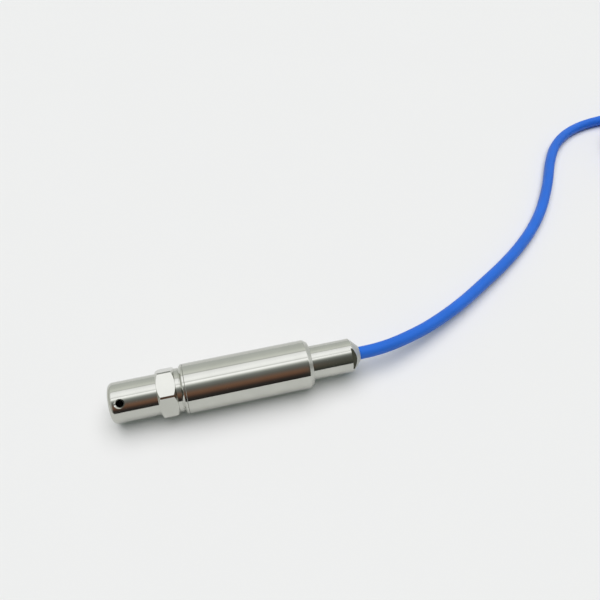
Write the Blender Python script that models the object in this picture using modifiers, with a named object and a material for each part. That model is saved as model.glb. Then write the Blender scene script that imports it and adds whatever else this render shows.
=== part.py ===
"""Submersible level transmitter lying on a table, with its vented cable coiled beside it.

The probe's axis lies along world X, half a body diameter above z = 0, with the nose at -X
and the cable at +X. Turned pieces are drawn about the local Z of an axis empty, so that a
piece's local z is its station along the probe, measured from the middle of its length.
"""

import math

import bmesh
import bpy
from mathutils import Matrix, Vector

MM = 0.001
DEGREE = math.radians(1)

# Outline of the probe, read from the nose to the cable
NOSE_DIAMETER = 22.7 * MM
NOSE_LENGTH = 26.2 * MM
NOSE_EDGE_RADIUS = 3.0 * MM
HEX_ACROSS_FLATS = 25.0 * MM
HEX_LENGTH = 10.2 * MM
HEX_CORNER_ANGLE = 46.0
NECK_DIAMETER = 24.6 * MM
NECK_LENGTH = 4.8 * MM
BODY_DIAMETER = 28.0 * MM
BODY_LENGTH = 70.5 * MM
BODY_WALL = 2.1 * MM
STUB_DIAMETER = 19.4 * MM
STUB_LENGTH = 24.1 * MM
CONE_LENGTH = 5.0 * MM

# Edges, grooves, holes and spanner faces
BODY_FRONT_CHAMFER = 0.6 * MM
BODY_REAR_CHAMFER = 1.8 * MM
BODY_REAR_CHAMFER_LENGTH = 2.4 * MM
HEX_CHAMFER_ANGLE = 40.0
HEX_CORNER_TRIM = 0.33 * MM
SHOULDER_LENGTH = 2.3 * MM
SHOULDER_STEP = 0.3 * MM
SHOULDER_CHAMFER = 0.4 * MM
NECK_GROOVE_WIDTH = 0.5 * MM
NECK_GROOVE_DEPTH = 0.5 * MM
INLET_DIAMETER = 4.0 * MM
INLET_MOUTH_DIAMETER = 6.2 * MM
INLET_SETBACK = 6.2 * MM
INLET_COUNT = 3
INLET_ANGLE = 52.0
SPANNER_ACROSS_FLATS = 15.0 * MM
SPANNER_RUN = 0.9 * MM
SPANNER_ANGLE = 38.0

# Play left between pieces that meet, and the rims that stand round a seat
GAP = 0.3 * MM
RIM = 0.4 * MM

# Nose cap and the threaded spigots that carry it and the body tube
CAP_END_WALL = 3.0 * MM
PORT_DIAMETER = 13.0 * MM
PORT_THREAD_DIAMETER = 18.2 * MM
PORT_THREAD_LENGTH = 8.0 * MM
THREAD_DEPTH = 0.9 * MM
SPIGOT_LENGTH = 9.0 * MM
GLAND_SPIGOT_LENGTH = 10.0 * MM

# Pressure cell. The diaphragm's waves and flat middle are shares of its own radius.
CELL_DIAMETER = 19.0 * MM
CELL_LENGTH = 11.0 * MM
CELL_SEAT_DEPTH = 4.0 * MM
CELL_RECESS_DEPTH = 1.4 * MM
DIAPHRAGM_THICKNESS = 0.3 * MM
DIAPHRAGM_WAVE = 0.12 * MM
DIAPHRAGM_WAVE_PLACES = ((0.8, 1), (0.6, -1), (0.4, 1))
DIAPHRAGM_FLAT = 0.25
WELD_RING_WIDTH = 1.2 * MM
LOCK_RING_LENGTH = 3.0 * MM
LOCK_RING_BORE = 13.6 * MM
LOCK_SLOT = 2.0 * MM
PIN_COUNT = 5
PIN_DIAMETER = 0.7 * MM
PIN_CIRCLE = 8.4 * MM
PIN_LENGTH = 6.0 * MM
PIN_SEAT_DEPTH = 2.5 * MM
VENT_PIPE_DIAMETER = 1.6 * MM

# O-rings: cord diameters, play beside them in their grooves, and the land that ends a spigot
CELL_SEAL = 1.6 * MM
BODY_SEAL = 1.1 * MM
SEAL_SIDE_PLAY = 0.5 * MM
SEAL_LAND = 2.7 * MM

# Electronics
SLEEVE_WALL = 0.8 * MM
BOARD_THICKNESS = 1.6 * MM
BOARD_FRONT_SPACE = 4.2 * MM
BOARD_REAR_SPACE = 9.3 * MM
FRONT_ROW_SETBACK = 7.0 * MM
REAR_ROW_SETBACK = 7.5 * MM
COMPONENT_EDGE = 0.25 * MM
WIRE_DIAMETER = 0.9 * MM
LEAD_DIAMETER = 1.3 * MM
VENT_TUBE_DIAMETER = 2.2 * MM
CORE_CIRCLE = 4.6 * MM
SOLDER_LAP = 3.0 * MM
WIRE_STRAIGHT = 1.5 * MM
LEAD_STRAIGHT = 8.0 * MM
BOARD_APPROACH = 1.0 * MM

# Cable gland
SEAL_CHAMBER_DIAMETER = 13.6 * MM
GLAND_WASHER = 1.0 * MM
GLAND_SEAL_LENGTH = 9.4 * MM
GLAND_SCREW_HEAD_DIAMETER = 17.0 * MM
GLAND_SCREW_HEAD = 2.5 * MM
CHAMBER_SETBACK = 7.0 * MM
MOUTH_RIM = 0.5 * MM
JACKET_INSIDE = 28.0 * MM

# Cable, and the coil that its unseen length is wound into
CABLE_DIAMETER = 7.5 * MM
COIL_CENTRE = Vector((387.0, 131.0, 0.0)) * MM
COIL_MEAN_RADIUS = 45.0 * MM
COIL_TURNS_WIDE = 3
COIL_TURNS_HIGH = 3
COIL_CORNER_STEPS = 2
TAIL_FIRST_ANGLE = 20.0
TAIL_LAST_ANGLE = -255.0
TAIL_STEP = 15.0
END_FACE_DEGREES = (0.6, 3.0)
TIE_ANGLES = (0.0, -110.0, 150.0)
TIE_THICKNESS = 1.2 * MM
TIE_WIDTH = 4.6 * MM
TIE_HEAD_HEIGHT = 5.0 * MM
TIE_HEAD_DEPTH = 3.4 * MM
TIE_HEAD_BASE = 8.0 * MM

# Facets round a turned piece
COARSE_STEPS = 24
FINE_STEPS = 48
EDGE_ARC_STEPS = 5

# Radii that follow from the sizes above
BODY_RADIUS = BODY_DIAMETER / 2
BORE_RADIUS = BODY_RADIUS - BODY_WALL
SPIGOT_RADIUS = BORE_RADIUS - GAP
NECK_RADIUS = NECK_DIAMETER / 2
CELL_RADIUS = CELL_DIAMETER / 2
CELL_BORE_RADIUS = CELL_RADIUS + GAP
PORT_RADIUS = PORT_DIAMETER / 2
PORT_THREAD_RADIUS = PORT_THREAD_DIAMETER / 2
SLEEVE_RADIUS = BORE_RADIUS - GAP - SLEEVE_WALL
CABLE_RADIUS = CABLE_DIAMETER / 2
CABLE_BORE_RADIUS = CABLE_RADIUS + GAP
CHAMBER_RADIUS = SEAL_CHAMBER_DIAMETER / 2
SEAL_RADIUS = CHAMBER_RADIUS - GAP

# Stations along the probe
TOTAL_LENGTH = NOSE_LENGTH + HEX_LENGTH + NECK_LENGTH + BODY_LENGTH + STUB_LENGTH + CONE_LENGTH
NOSE_END = -TOTAL_LENGTH / 2
HEX_FRONT = NOSE_END + NOSE_LENGTH
HEX_REAR = HEX_FRONT + HEX_LENGTH
BODY_FRONT = HEX_REAR + NECK_LENGTH
BODY_REAR = BODY_FRONT + BODY_LENGTH
CONE_FRONT = BODY_REAR + STUB_LENGTH
CABLE_EXIT = CONE_FRONT + CONE_LENGTH
PORT_FRONT = HEX_FRONT - PORT_THREAD_LENGTH
CELL_SEAT = HEX_FRONT + CELL_SEAT_DEPTH
CELL_FRONT = CELL_SEAT + GAP
CELL_REAR = CELL_FRONT + CELL_LENGTH
LOCK_RING_FRONT = CELL_REAR + GAP
PIN_END = CELL_REAR + PIN_LENGTH
SPIGOT_REAR = BODY_FRONT + SPIGOT_LENGTH
GLAND_FRONT = BODY_REAR - GLAND_SPIGOT_LENGTH
CHAMBER_REAR = CONE_FRONT - CHAMBER_SETBACK
JACKET_END = CABLE_EXIT - JACKET_INSIDE
BOARD_FRONT = SPIGOT_REAR + BOARD_FRONT_SPACE
BOARD_REAR = GLAND_FRONT - BOARD_REAR_SPACE
BOARD_MIDDLE = (BOARD_FRONT + BOARD_REAR) / 2

# Seats of the O-rings: the floor of each groove and the middle of its width
CELL_SEAL_FLOOR = CELL_RADIUS - GAP - CELL_SEAL
CELL_SEAL_MIDDLE = (CELL_FRONT + CELL_REAR) / 2
BODY_SEAL_FLOOR = SPIGOT_RADIUS - GAP - BODY_SEAL
HOUSING_SEAL_MIDDLE = SPIGOT_REAR - SEAL_LAND - BODY_SEAL / 2
GLAND_SEAL_MIDDLE = GLAND_FRONT + SEAL_LAND + BODY_SEAL / 2

# Levels of the coil above the table: it lies on the straps of its ties
COIL_BASE = TIE_THICKNESS + GAP
COIL_HALF_WIDTH = COIL_TURNS_WIDE * CABLE_RADIUS
COIL_TOP = COIL_BASE + COIL_TURNS_HIGH * CABLE_DIAMETER
TAIL_RADIUS = COIL_MEAN_RADIUS - (COIL_TURNS_WIDE - 1) * CABLE_RADIUS
TAIL_LEVEL = COIL_TOP + GAP + CABLE_RADIUS

# The cable's way from the gland to the coil, chosen by hand
CABLE_ROUTE = [
    (81.0, 0.4, 13.8),
    (92.0, 2.6, 12.7),
    (106.0, 7.4, 10.2),
    (120.0, 13.6, 7.3),
    (136.0, 21.6, 4.7),
    (152.0, 30.2, 3.85),
    (170.0, 40.8, 3.8),
    (190.0, 53.2, 3.8),
    (208.0, 66.0, 3.8),
    (226.0, 81.4, 3.8),
    (243.0, 99.6, 3.8),
    (260.0, 122.6, 3.8),
    (276.0, 147.6, 3.8),
    (290.0, 165.4, 3.8),
    (307.0, 178.6, 3.8),
    (326.0, 186.2, 3.9),
    (347.0, 188.8, 4.6),
    (367.6, 187.8, 5.3),
]


def clear_scene():
    for obj in list(bpy.data.objects):
        bpy.data.objects.remove(obj, do_unlink=True)


def new_collection(name, hidden=False):
    collection = bpy.data.collections.new(name)
    bpy.context.scene.collection.children.link(collection)
    collection.hide_render = hidden
    return collection


def new_material(name, colour, roughness, metallic=0.0):
    material = bpy.data.materials.new(name)
    material.use_nodes = True
    shader = material.node_tree.nodes["Principled BSDF"]
    shader.inputs["Base Color"].default_value = (*colour, 1.0)
    shader.inputs["Roughness"].default_value = roughness
    shader.inputs["Metallic"].default_value = metallic
    return material


def place(obj, material, parent=None):
    """Puts a piece in the transmitter's collection, on its parent and with its own material."""
    bpy.data.collections["submersible_level_transmitter"].objects.link(obj)
    obj.parent = parent
    obj.data.materials.append(material)
    return obj


def place_cutter(obj, parent):
    bpy.data.collections["cutters"].objects.link(obj)
    obj.parent = parent
    obj.hide_render = True
    obj.display_type = "WIRE"
    return obj


def smooth(mesh):
    mesh.shade_smooth()
    mesh.set_sharp_from_angle(angle=35 * DEGREE)


def across(angle):
    """Unit vector square to the probe's axis: 0 degrees faces -Y in the world, 90 faces up."""
    return Vector((-math.sin(angle * DEGREE), -math.cos(angle * DEGREE), 0.0))


def turned(name, profile, steps=FINE_STEPS, closed=True):
    """Object turned about local Z. The profile holds (radius, station) and runs down its outer side."""
    mesh = bpy.data.meshes.new(name)
    edges = [(i, i + 1) for i in range(len(profile) - 1)]
    if closed:
        edges.append((len(profile) - 1, 0))
    mesh.from_pydata([(radius, 0.0, station) for radius, station in profile], edges, [])
    obj = bpy.data.objects.new(name, mesh)
    screw = obj.modifiers.new("turn", "SCREW")
    screw.axis = "Z"
    screw.angle = 2 * math.pi
    screw.steps = screw.render_steps = steps
    screw.use_merge_vertices = True
    screw.merge_threshold = 0.00001
    screw.use_smooth_shade = True
    return obj


def ring_profile(outer, inner, front, rear):
    return [(outer, rear), (outer, front), (inner, front), (inner, rear)]


def groove(radius, floor, front, rear):
    """Profile points of a square groove, from its rear lip to its front lip."""
    return [(radius, rear), (floor, rear), (floor, front), (radius, front)]


def seal_groove(radius, floor, middle, cord_diameter):
    half_width = cord_diameter / 2 + SEAL_SIDE_PLAY
    return groove(radius, floor, middle - half_width, middle + half_width)


def o_ring(name, floor, cord_diameter, station, sides=8):
    """O-ring that lies a gap above the floor of its groove."""
    cord_radius = cord_diameter / 2
    middle = floor + GAP + cord_radius
    circle = []
    for i in range(sides):
        turn = -2 * math.pi * i / sides
        circle.append((middle + cord_radius * math.cos(turn), station + cord_radius * math.sin(turn)))
    return turned(name, circle, COARSE_STEPS)


def cylinder_mesh(name, radius, length, sides):
    """Cylinder along local Z with its foot at the origin."""
    shape = bmesh.new()
    bmesh.ops.create_cone(
        shape, cap_ends=True, segments=sides, radius1=radius, radius2=radius, depth=length
    )
    bmesh.ops.translate(shape, verts=shape.verts, vec=(0, 0, length / 2))
    mesh = bpy.data.meshes.new(name)
    shape.to_mesh(mesh)
    shape.free()
    smooth(mesh)
    return mesh


def block(name, size, middle, bevel=0.0):
    """Box of the given size about its middle, with its edges rounded off if asked."""
    shape = bmesh.new()
    bmesh.ops.create_cube(shape, size=1.0)
    bmesh.ops.scale(shape, verts=shape.verts, vec=size)
    mesh = bpy.data.meshes.new(name)
    shape.to_mesh(mesh)
    shape.free()
    obj = bpy.data.objects.new(name, mesh)
    obj.location = middle
    if bevel:
        edges = obj.modifiers.new("edges", "BEVEL")
        edges.width = bevel
        edges.segments = 1
    return obj


def cut(obj, cutter):
    boolean = obj.modifiers.new("cut", "BOOLEAN")
    boolean.operation = "DIFFERENCE"
    boolean.object = cutter


def smooth_route(points, spacing):
    """Evenly spaced points on a smooth curve through the given ones."""
    points = [Vector(point) for point in points]
    ends = [2 * points[0] - points[1]] + points + [2 * points[-1] - points[-2]]
    fine = []
    for before, start, end, after in zip(ends, ends[1:], ends[2:], ends[3:]):
        for i in range(24):
            t = i / 24
            fine.append(
                0.5
                * (
                    2 * start
                    + (end - before) * t
                    + (2 * before - 5 * start + 4 * end - after) * t**2
                    + (3 * start - before - 3 * end + after) * t**3
                )
            )
    fine.append(points[-1])
    lengths = [0.0]
    for here, there in zip(fine, fine[1:]):
        lengths.append(lengths[-1] + (there - here).length)
    count = max(2, round(lengths[-1] / spacing))
    even = []
    index = 0
    for i in range(count + 1):
        wanted = lengths[-1] * i / count
        while index < len(fine) - 2 and lengths[index + 1] < wanted:
            index += 1
        part = (wanted - lengths[index]) / (lengths[index + 1] - lengths[index])
        even.append(fine[index].lerp(fine[index + 1], part))
    return even


def tube(name, points, diameter, bevel_resolution=2):
    """Round tube through the points, with flat ends."""
    curve = bpy.data.curves.new(name, "CURVE")
    curve.dimensions = "3D"
    curve.bevel_depth = diameter / 2
    curve.bevel_resolution = bevel_resolution
    curve.use_fill_caps = True
    spline = curve.splines.new("POLY")
    spline.points.add(len(points) - 1)
    for point, place_on_route in zip(spline.points, points):
        point.co = (*place_on_route, 1.0)
    spline.use_smooth = True
    return bpy.data.objects.new(name, curve)


def make_nose_cap(axis, steel):
    """Screwed cap that guards the diaphragm and lets the liquid in."""
    radius = NOSE_DIAMETER / 2
    thread = PORT_THREAD_RADIUS + GAP
    chamber = PORT_THREAD_RADIUS - THREAD_DEPTH + GAP
    rear = HEX_FRONT - GAP
    inner_front = NOSE_END + CAP_END_WALL
    profile = [
        (0.0, inner_front),
        (chamber, inner_front),
        (chamber, PORT_FRONT - GAP),
        (thread, PORT_FRONT - GAP),
        (thread, rear),
        (radius - RIM, rear),
        (radius, rear - RIM),
    ]
    for i in range(EDGE_ARC_STEPS + 1):
        turn = math.pi / 2 * i / EDGE_ARC_STEPS
        profile.append(
            (
                radius - NOSE_EDGE_RADIUS * (1 - math.cos(turn)),
                NOSE_END + NOSE_EDGE_RADIUS * (1 - math.sin(turn)),
            )
        )
    profile.append((0.0, NOSE_END))
    cap = place(turned("nose_cap", profile, closed=False), steel, axis)
    mouth_depth = (INLET_MOUTH_DIAMETER - INLET_DIAMETER) / 2
    hole = [
        (0.0, radius + mouth_depth),
        (INLET_MOUTH_DIAMETER / 2 + mouth_depth, radius + mouth_depth),
        (INLET_DIAMETER / 2, radius - mouth_depth),
        (INLET_DIAMETER / 2, chamber / 2),
        (0.0, chamber / 2),
    ]
    for i in range(INLET_COUNT):
        direction = across(INLET_ANGLE + 360 * i / INLET_COUNT)
        drill = place_cutter(turned(f"inlet_drill_{i + 1}", hole, 16, closed=False), axis)
        drill.location = (0, 0, NOSE_END + INLET_SETBACK)
        drill.rotation_mode = "QUATERNION"
        drill.rotation_quaternion = direction.to_track_quat("Z", "Y")
        cut(cap, drill)


def make_sensor_housing(axis, steel):
    """Hexagon piece with a spigot for the cap in front and one for the body tube behind."""
    sharp_corner = HEX_ACROSS_FLATS / math.sqrt(3)
    corner = sharp_corner - HEX_CORNER_TRIM
    slope = math.tan(HEX_CHAMFER_ANGLE * DEGREE)
    front_face = HEX_ACROSS_FLATS / 2 - RIM
    rear_face = (NECK_RADIUS + HEX_ACROSS_FLATS / 2) / 2
    shoulder = BODY_RADIUS - SHOULDER_STEP
    shoulder_front = BODY_FRONT - GAP - SHOULDER_LENGTH
    profile = [(SPIGOT_RADIUS, SPIGOT_REAR)]
    profile += seal_groove(SPIGOT_RADIUS, BODY_SEAL_FLOOR, HOUSING_SEAL_MIDDLE, BODY_SEAL)
    profile += [
        (SPIGOT_RADIUS, BODY_FRONT - GAP),
        (shoulder, BODY_FRONT - GAP),
        (shoulder, shoulder_front + SHOULDER_CHAMFER),
        (shoulder - SHOULDER_CHAMFER, shoulder_front),
        (NECK_RADIUS - NECK_GROOVE_DEPTH, shoulder_front),
        (NECK_RADIUS - NECK_GROOVE_DEPTH, shoulder_front - NECK_GROOVE_WIDTH),
        (NECK_RADIUS, shoulder_front - NECK_GROOVE_WIDTH),
        (NECK_RADIUS, HEX_REAR),
        (rear_face, HEX_REAR),
        (corner, HEX_REAR - (corner - rear_face) * slope),
        (corner, HEX_FRONT + (corner - front_face) * slope),
        (front_face, HEX_FRONT),
        (PORT_THREAD_RADIUS, HEX_FRONT),
        (PORT_THREAD_RADIUS, PORT_FRONT + THREAD_DEPTH),
        (PORT_THREAD_RADIUS - THREAD_DEPTH, PORT_FRONT),
        (PORT_RADIUS, PORT_FRONT),
        (PORT_RADIUS, CELL_SEAT),
        (CELL_BORE_RADIUS, CELL_SEAT),
        (CELL_BORE_RADIUS, SPIGOT_REAR),
    ]
    housing = place(turned("sensor_housing", profile), steel, axis)
    hexagon = ring_profile(2 * sharp_corner, sharp_corner, HEX_FRONT - GAP / 2, HEX_REAR)
    mill = place_cutter(turned("hexagon_mill", hexagon, 6), axis)
    mill.rotation_euler.z = (-90 - HEX_CORNER_ANGLE) * DEGREE
    cut(housing, mill)


def make_body_tube(axis, steel):
    """Straight tube that holds the electronics."""
    face = BODY_RADIUS - BODY_FRONT_CHAMFER
    profile = [
        (BODY_RADIUS - BODY_REAR_CHAMFER, BODY_REAR),
        (BODY_RADIUS, BODY_REAR - BODY_REAR_CHAMFER_LENGTH),
        (BODY_RADIUS, BODY_FRONT + BODY_FRONT_CHAMFER),
        (face, BODY_FRONT),
        (BORE_RADIUS, BODY_FRONT),
        (BORE_RADIUS, BODY_REAR),
    ]
    place(turned("body_tube", profile), steel, axis)


def make_gland_body(axis, steel):
    """Rear piece that screws into the tube, grips the cable and ends in a cone with two flats."""
    stub = STUB_DIAMETER / 2
    profile = [
        (CABLE_BORE_RADIUS + MOUTH_RIM, CABLE_EXIT),
        (stub, CONE_FRONT),
        (stub, BODY_REAR),
        (SPIGOT_RADIUS, BODY_REAR),
    ]
    profile += seal_groove(SPIGOT_RADIUS, BODY_SEAL_FLOOR, GLAND_SEAL_MIDDLE, BODY_SEAL)
    profile += [
        (SPIGOT_RADIUS, GLAND_FRONT),
        (CHAMBER_RADIUS, GLAND_FRONT),
        (CHAMBER_RADIUS, CHAMBER_REAR),
        (CABLE_BORE_RADIUS, CHAMBER_REAR + CHAMBER_RADIUS - CABLE_BORE_RADIUS),
        (CABLE_BORE_RADIUS, CABLE_EXIT),
    ]
    gland = place(turned("gland_body", profile), steel, axis)
    run = SPANNER_RUN + CONE_LENGTH + GAP
    for side in (0, 1):
        outwards = across(SPANNER_ANGLE + 180 * side)
        mill = block(
            f"spanner_mill_{side + 1}",
            (stub, 2 * STUB_DIAMETER, run),
            outwards * (SPANNER_ACROSS_FLATS + stub) / 2
            + Vector((0, 0, CONE_FRONT - SPANNER_RUN + run / 2)),
        )
        place_cutter(mill, axis)
        mill.rotation_euler.z = math.atan2(outwards.y, outwards.x)
        cut(gland, mill)


def make_seals(axis, rubber):
    seals = [
        ("cell_o_ring", CELL_SEAL_FLOOR, CELL_SEAL, CELL_SEAL_MIDDLE),
        ("housing_o_ring", BODY_SEAL_FLOOR, BODY_SEAL, HOUSING_SEAL_MIDDLE),
        ("gland_o_ring", BODY_SEAL_FLOOR, BODY_SEAL, GLAND_SEAL_MIDDLE),
    ]
    for seal in seals:
        place(o_ring(*seal), rubber, axis)


def make_pressure_cell(axis, materials):
    """Oil-filled cell: case, corrugated diaphragm, weld ring and the ring that holds it."""
    recess = CELL_RADIUS - 2 * RIM - GAP
    recess_floor = CELL_FRONT + CELL_RECESS_DEPTH
    profile = [(0.0, CELL_REAR), (CELL_RADIUS, CELL_REAR)]
    profile += seal_groove(CELL_RADIUS, CELL_SEAL_FLOOR, CELL_SEAL_MIDDLE, CELL_SEAL)
    profile += [
        (CELL_RADIUS, CELL_FRONT),
        (recess, CELL_FRONT),
        (recess, recess_floor),
        (0.0, recess_floor),
    ]
    cell = place(turned("sensor_cell", profile, 32, closed=False), materials["cell"], axis)

    disc = recess - GAP
    rear = recess_floor - GAP - DIAPHRAGM_WAVE
    front = rear - DIAPHRAGM_THICKNESS
    rings = [(disc * part, DIAPHRAGM_WAVE * side) for part, side in DIAPHRAGM_WAVE_PLACES]
    profile = [(0.0, rear), (disc * DIAPHRAGM_FLAT, rear)]
    profile += [(radius, rear + wave) for radius, wave in reversed(rings)]
    profile += [(disc, rear), (disc, front)]
    profile += [(radius, front + wave) for radius, wave in rings]
    profile += [(disc * DIAPHRAGM_FLAT, front), (0.0, front)]
    place(turned("diaphragm", profile, COARSE_STEPS, closed=False), materials["foil"], axis)
    weld_rear = front - GAP - DIAPHRAGM_WAVE
    weld = ring_profile(disc, disc - WELD_RING_WIDTH, CELL_FRONT, weld_rear)
    place(turned("diaphragm_weld_ring", weld, COARSE_STEPS), materials["cell"], axis)

    lock = ring_profile(
        CELL_RADIUS, LOCK_RING_BORE / 2, LOCK_RING_FRONT, LOCK_RING_FRONT + LOCK_RING_LENGTH
    )
    ring = place(turned("cell_lock_ring", lock, 32), materials["steel"], axis)
    slot = block(
        "lock_slot_mill",
        (3 * CELL_RADIUS, LOCK_SLOT, LOCK_RING_LENGTH),
        (0, 0, LOCK_RING_FRONT + LOCK_RING_LENGTH),
    )
    cut(ring, place_cutter(slot, axis))
    make_cell_pins(cell, axis, materials)


def make_cell_pins(cell, axis, materials):
    """Header pins round the vent pipe, each standing in its own bead hole."""
    foot = CELL_REAR - PIN_SEAT_DEPTH
    pin = cylinder_mesh("cell_pin", PIN_DIAMETER / 2, PIN_END - foot - GAP, 8)
    pin_drill = cylinder_mesh("pin_drill", PIN_DIAMETER / 2 + GAP, 2 * PIN_SEAT_DEPTH, 8)
    for i in range(PIN_COUNT):
        position = across(360 * i / PIN_COUNT) * PIN_CIRCLE / 2
        drill = place_cutter(bpy.data.objects.new(f"pin_drill_{i + 1}", pin_drill), axis)
        drill.location = position + Vector((0, 0, foot))
        cut(cell, drill)
        obj = bpy.data.objects.new(f"cell_pin_{i + 1}", pin.copy())
        place(obj, materials["gold"], axis).location = position + Vector((0, 0, foot + GAP))
    radius = VENT_PIPE_DIAMETER / 2
    vent_drill = cylinder_mesh("vent_drill", radius + GAP, 2 * PIN_SEAT_DEPTH, 12)
    drill = place_cutter(bpy.data.objects.new("vent_drill", vent_drill), axis)
    drill.location = (0, 0, foot)
    cut(cell, drill)
    pipe = cylinder_mesh("cell_vent_pipe", radius, PIN_END - foot - GAP, 12)
    obj = bpy.data.objects.new("cell_vent_pipe", pipe)
    place(obj, materials["steel"], axis).location = (0, 0, foot + GAP)


def make_electronics(axis, materials):
    """Insulating sleeve and the circuit board that slides into it, with its main components."""
    sleeve = ring_profile(
        SLEEVE_RADIUS + SLEEVE_WALL, SLEEVE_RADIUS, SPIGOT_REAR + GAP, GLAND_FRONT - GAP
    )
    place(turned("insulating_sleeve", sleeve, 32), materials["sleeve"], axis)
    # The board spans the sleeve: its edges end a gap short of the faceted wall.
    facet = math.cos(math.pi / 32)
    half_width = math.sqrt((SLEEVE_RADIUS * facet) ** 2 - (BOARD_THICKNESS / 2) ** 2) - GAP
    board = block(
        "circuit_board",
        (BOARD_THICKNESS, 2 * half_width, BOARD_REAR - BOARD_FRONT),
        (0, 0, BOARD_MIDDLE),
    )
    place(board, materials["board"], axis)
    front_row = BOARD_FRONT + FRONT_ROW_SETBACK
    rear_row = BOARD_REAR - REAR_ROW_SETBACK
    # Name, height, width and length, how far across the board, station, face and material
    parts = [
        ("amplifier_chip", (1.6, 4.0, 5.0), -4.0, front_row, 1, "chip"),
        ("input_capacitor", (2.0, 2.8, 3.5), 4.4, front_row, 1, "tantalum"),
        ("transmitter_chip", (2.3, 7.5, 10.3), 0.0, BOARD_MIDDLE - 0.5 * MM, 1, "chip"),
        ("output_capacitor", (2.0, 2.8, 3.5), 7.0, BOARD_MIDDLE + 3.0 * MM, 1, "tantalum"),
        ("surge_suppressor", (2.4, 3.6, 4.6), -5.0, rear_row, 1, "chip"),
        ("polarity_diode", (1.6, 2.6, 4.6), 5.0, rear_row, 1, "chip"),
        ("trim_resistor", (2.2, 4.0, 4.4), 0.0, BOARD_MIDDLE - 6.0 * MM, -1, "trimmer"),
        ("choke", (3.0, 4.8, 4.8), 0.0, BOARD_MIDDLE + 6.0 * MM, -1, "chip"),
    ]
    for name, size, sideways, station, face, material in parts:
        height = (BOARD_THICKNESS / 2 + GAP + size[0] * MM / 2) * -face
        middle = (height, sideways * MM, station)
        piece = block(name, [edge * MM for edge in size], middle, COMPONENT_EDGE)
        place(piece, materials[material], axis)


def make_inner_wires(axis, materials):
    """Four wires from the cell's pins to pads on both faces of the board."""
    skin = BOARD_THICKNESS / 2 + GAP + WIRE_DIAMETER / 2
    # Pin, face of the board, and how far across it the wire ends
    wires = [(1, 1, -3.6), (2, 1, 3.6), (3, -1, 3.6), (4, -1, -3.6)]
    for number, (pin, face, sideways) in enumerate(wires, 1):
        start = across(360 * pin / PIN_COUNT) * PIN_CIRCLE / 2
        route = [
            start + Vector((0, 0, PIN_END + GAP)),
            start + Vector((0, 0, PIN_END + WIRE_STRAIGHT)),
            Vector((-face * skin, sideways * MM, BOARD_FRONT - BOARD_APPROACH)),
            Vector((-face * skin, sideways * MM, BOARD_FRONT + SOLDER_LAP)),
        ]
        wire = tube(f"cell_wire_{number}", smooth_route(route, 1.8 * MM), WIRE_DIAMETER, 1)
        place(wire, materials["wire"], axis)


def make_gland_fittings(axis, materials):
    """Rubber bush squeezed between two washers by a hollow screw, all round the cable."""
    rear_washer_front = CHAMBER_REAR - GAP - GLAND_WASHER
    seal_rear = rear_washer_front - GAP
    seal_front = seal_rear - GLAND_SEAL_LENGTH
    front_washer_rear = seal_front - GAP
    screw_rear = front_washer_rear - GLAND_WASHER - GAP
    rings = [
        ("gland_washer_rear", rear_washer_front, rear_washer_front + GLAND_WASHER, "washer"),
        ("gland_seal", seal_front, seal_rear, "rubber"),
        ("gland_washer_front", front_washer_rear - GLAND_WASHER, front_washer_rear, "washer"),
    ]
    for name, front, rear, material in rings:
        ring = turned(name, ring_profile(SEAL_RADIUS, CABLE_BORE_RADIUS, front, rear), 32)
        place(ring, materials[material], axis)
    head_rear = GLAND_FRONT - GAP
    screw = [
        (SEAL_RADIUS, screw_rear),
        (SEAL_RADIUS, head_rear),
        (GLAND_SCREW_HEAD_DIAMETER / 2, head_rear),
        (GLAND_SCREW_HEAD_DIAMETER / 2, head_rear - GLAND_SCREW_HEAD),
        (CABLE_BORE_RADIUS, head_rear - GLAND_SCREW_HEAD),
        (CABLE_BORE_RADIUS, screw_rear),
    ]
    place(turned("gland_screw", screw, 32), materials["brass"], axis)


def make_inner_leads(axis, materials):
    """Cores of the stripped cable: three to the board, and the vent tube, which ends open."""
    skin = BOARD_THICKNESS / 2 + GAP + LEAD_DIAMETER / 2
    # Core, its angle round the cable, the board's face and how far across it the core ends
    cores = [
        ("inner_lead_red", 135.0, 1, 4.0, "red"),
        ("inner_lead_black", 45.0, 1, -4.0, "black"),
        ("inner_lead_shield", 315.0, -1, -4.0, "bare"),
    ]
    for name, angle, face, sideways, material in cores:
        start = across(angle) * CORE_CIRCLE / 2
        height = -face * skin
        route = [
            start + Vector((0, 0, JACKET_END - GAP)),
            start + Vector((0, 0, JACKET_END - LEAD_STRAIGHT)),
            start + Vector((0, 0, GLAND_FRONT - GLAND_SCREW_HEAD)),
            Vector((height, sideways * MM, BOARD_REAR + BOARD_APPROACH)),
            Vector((height, sideways * MM, BOARD_REAR - SOLDER_LAP)),
        ]
        lead = tube(name, smooth_route(route, 2.6 * MM), LEAD_DIAMETER, 1)
        place(lead, materials[material], axis)
    start = across(225.0) * CORE_CIRCLE / 2
    route = [
        start + Vector((0, 0, JACKET_END - GAP)),
        start + Vector((0, 0, (JACKET_END + BOARD_REAR) / 2)),
        start + Vector((0, 0, BOARD_REAR + GAP)),
    ]
    vent = tube("inner_vent_tube", smooth_route(route, 6.0 * MM), VENT_TUBE_DIAMETER, 1)
    place(vent, materials["vent"], axis)


def coil_point(angle, radius, level):
    turn = angle * DEGREE
    return COIL_CENTRE + Vector((radius * math.cos(turn), radius * math.sin(turn), level))


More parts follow.
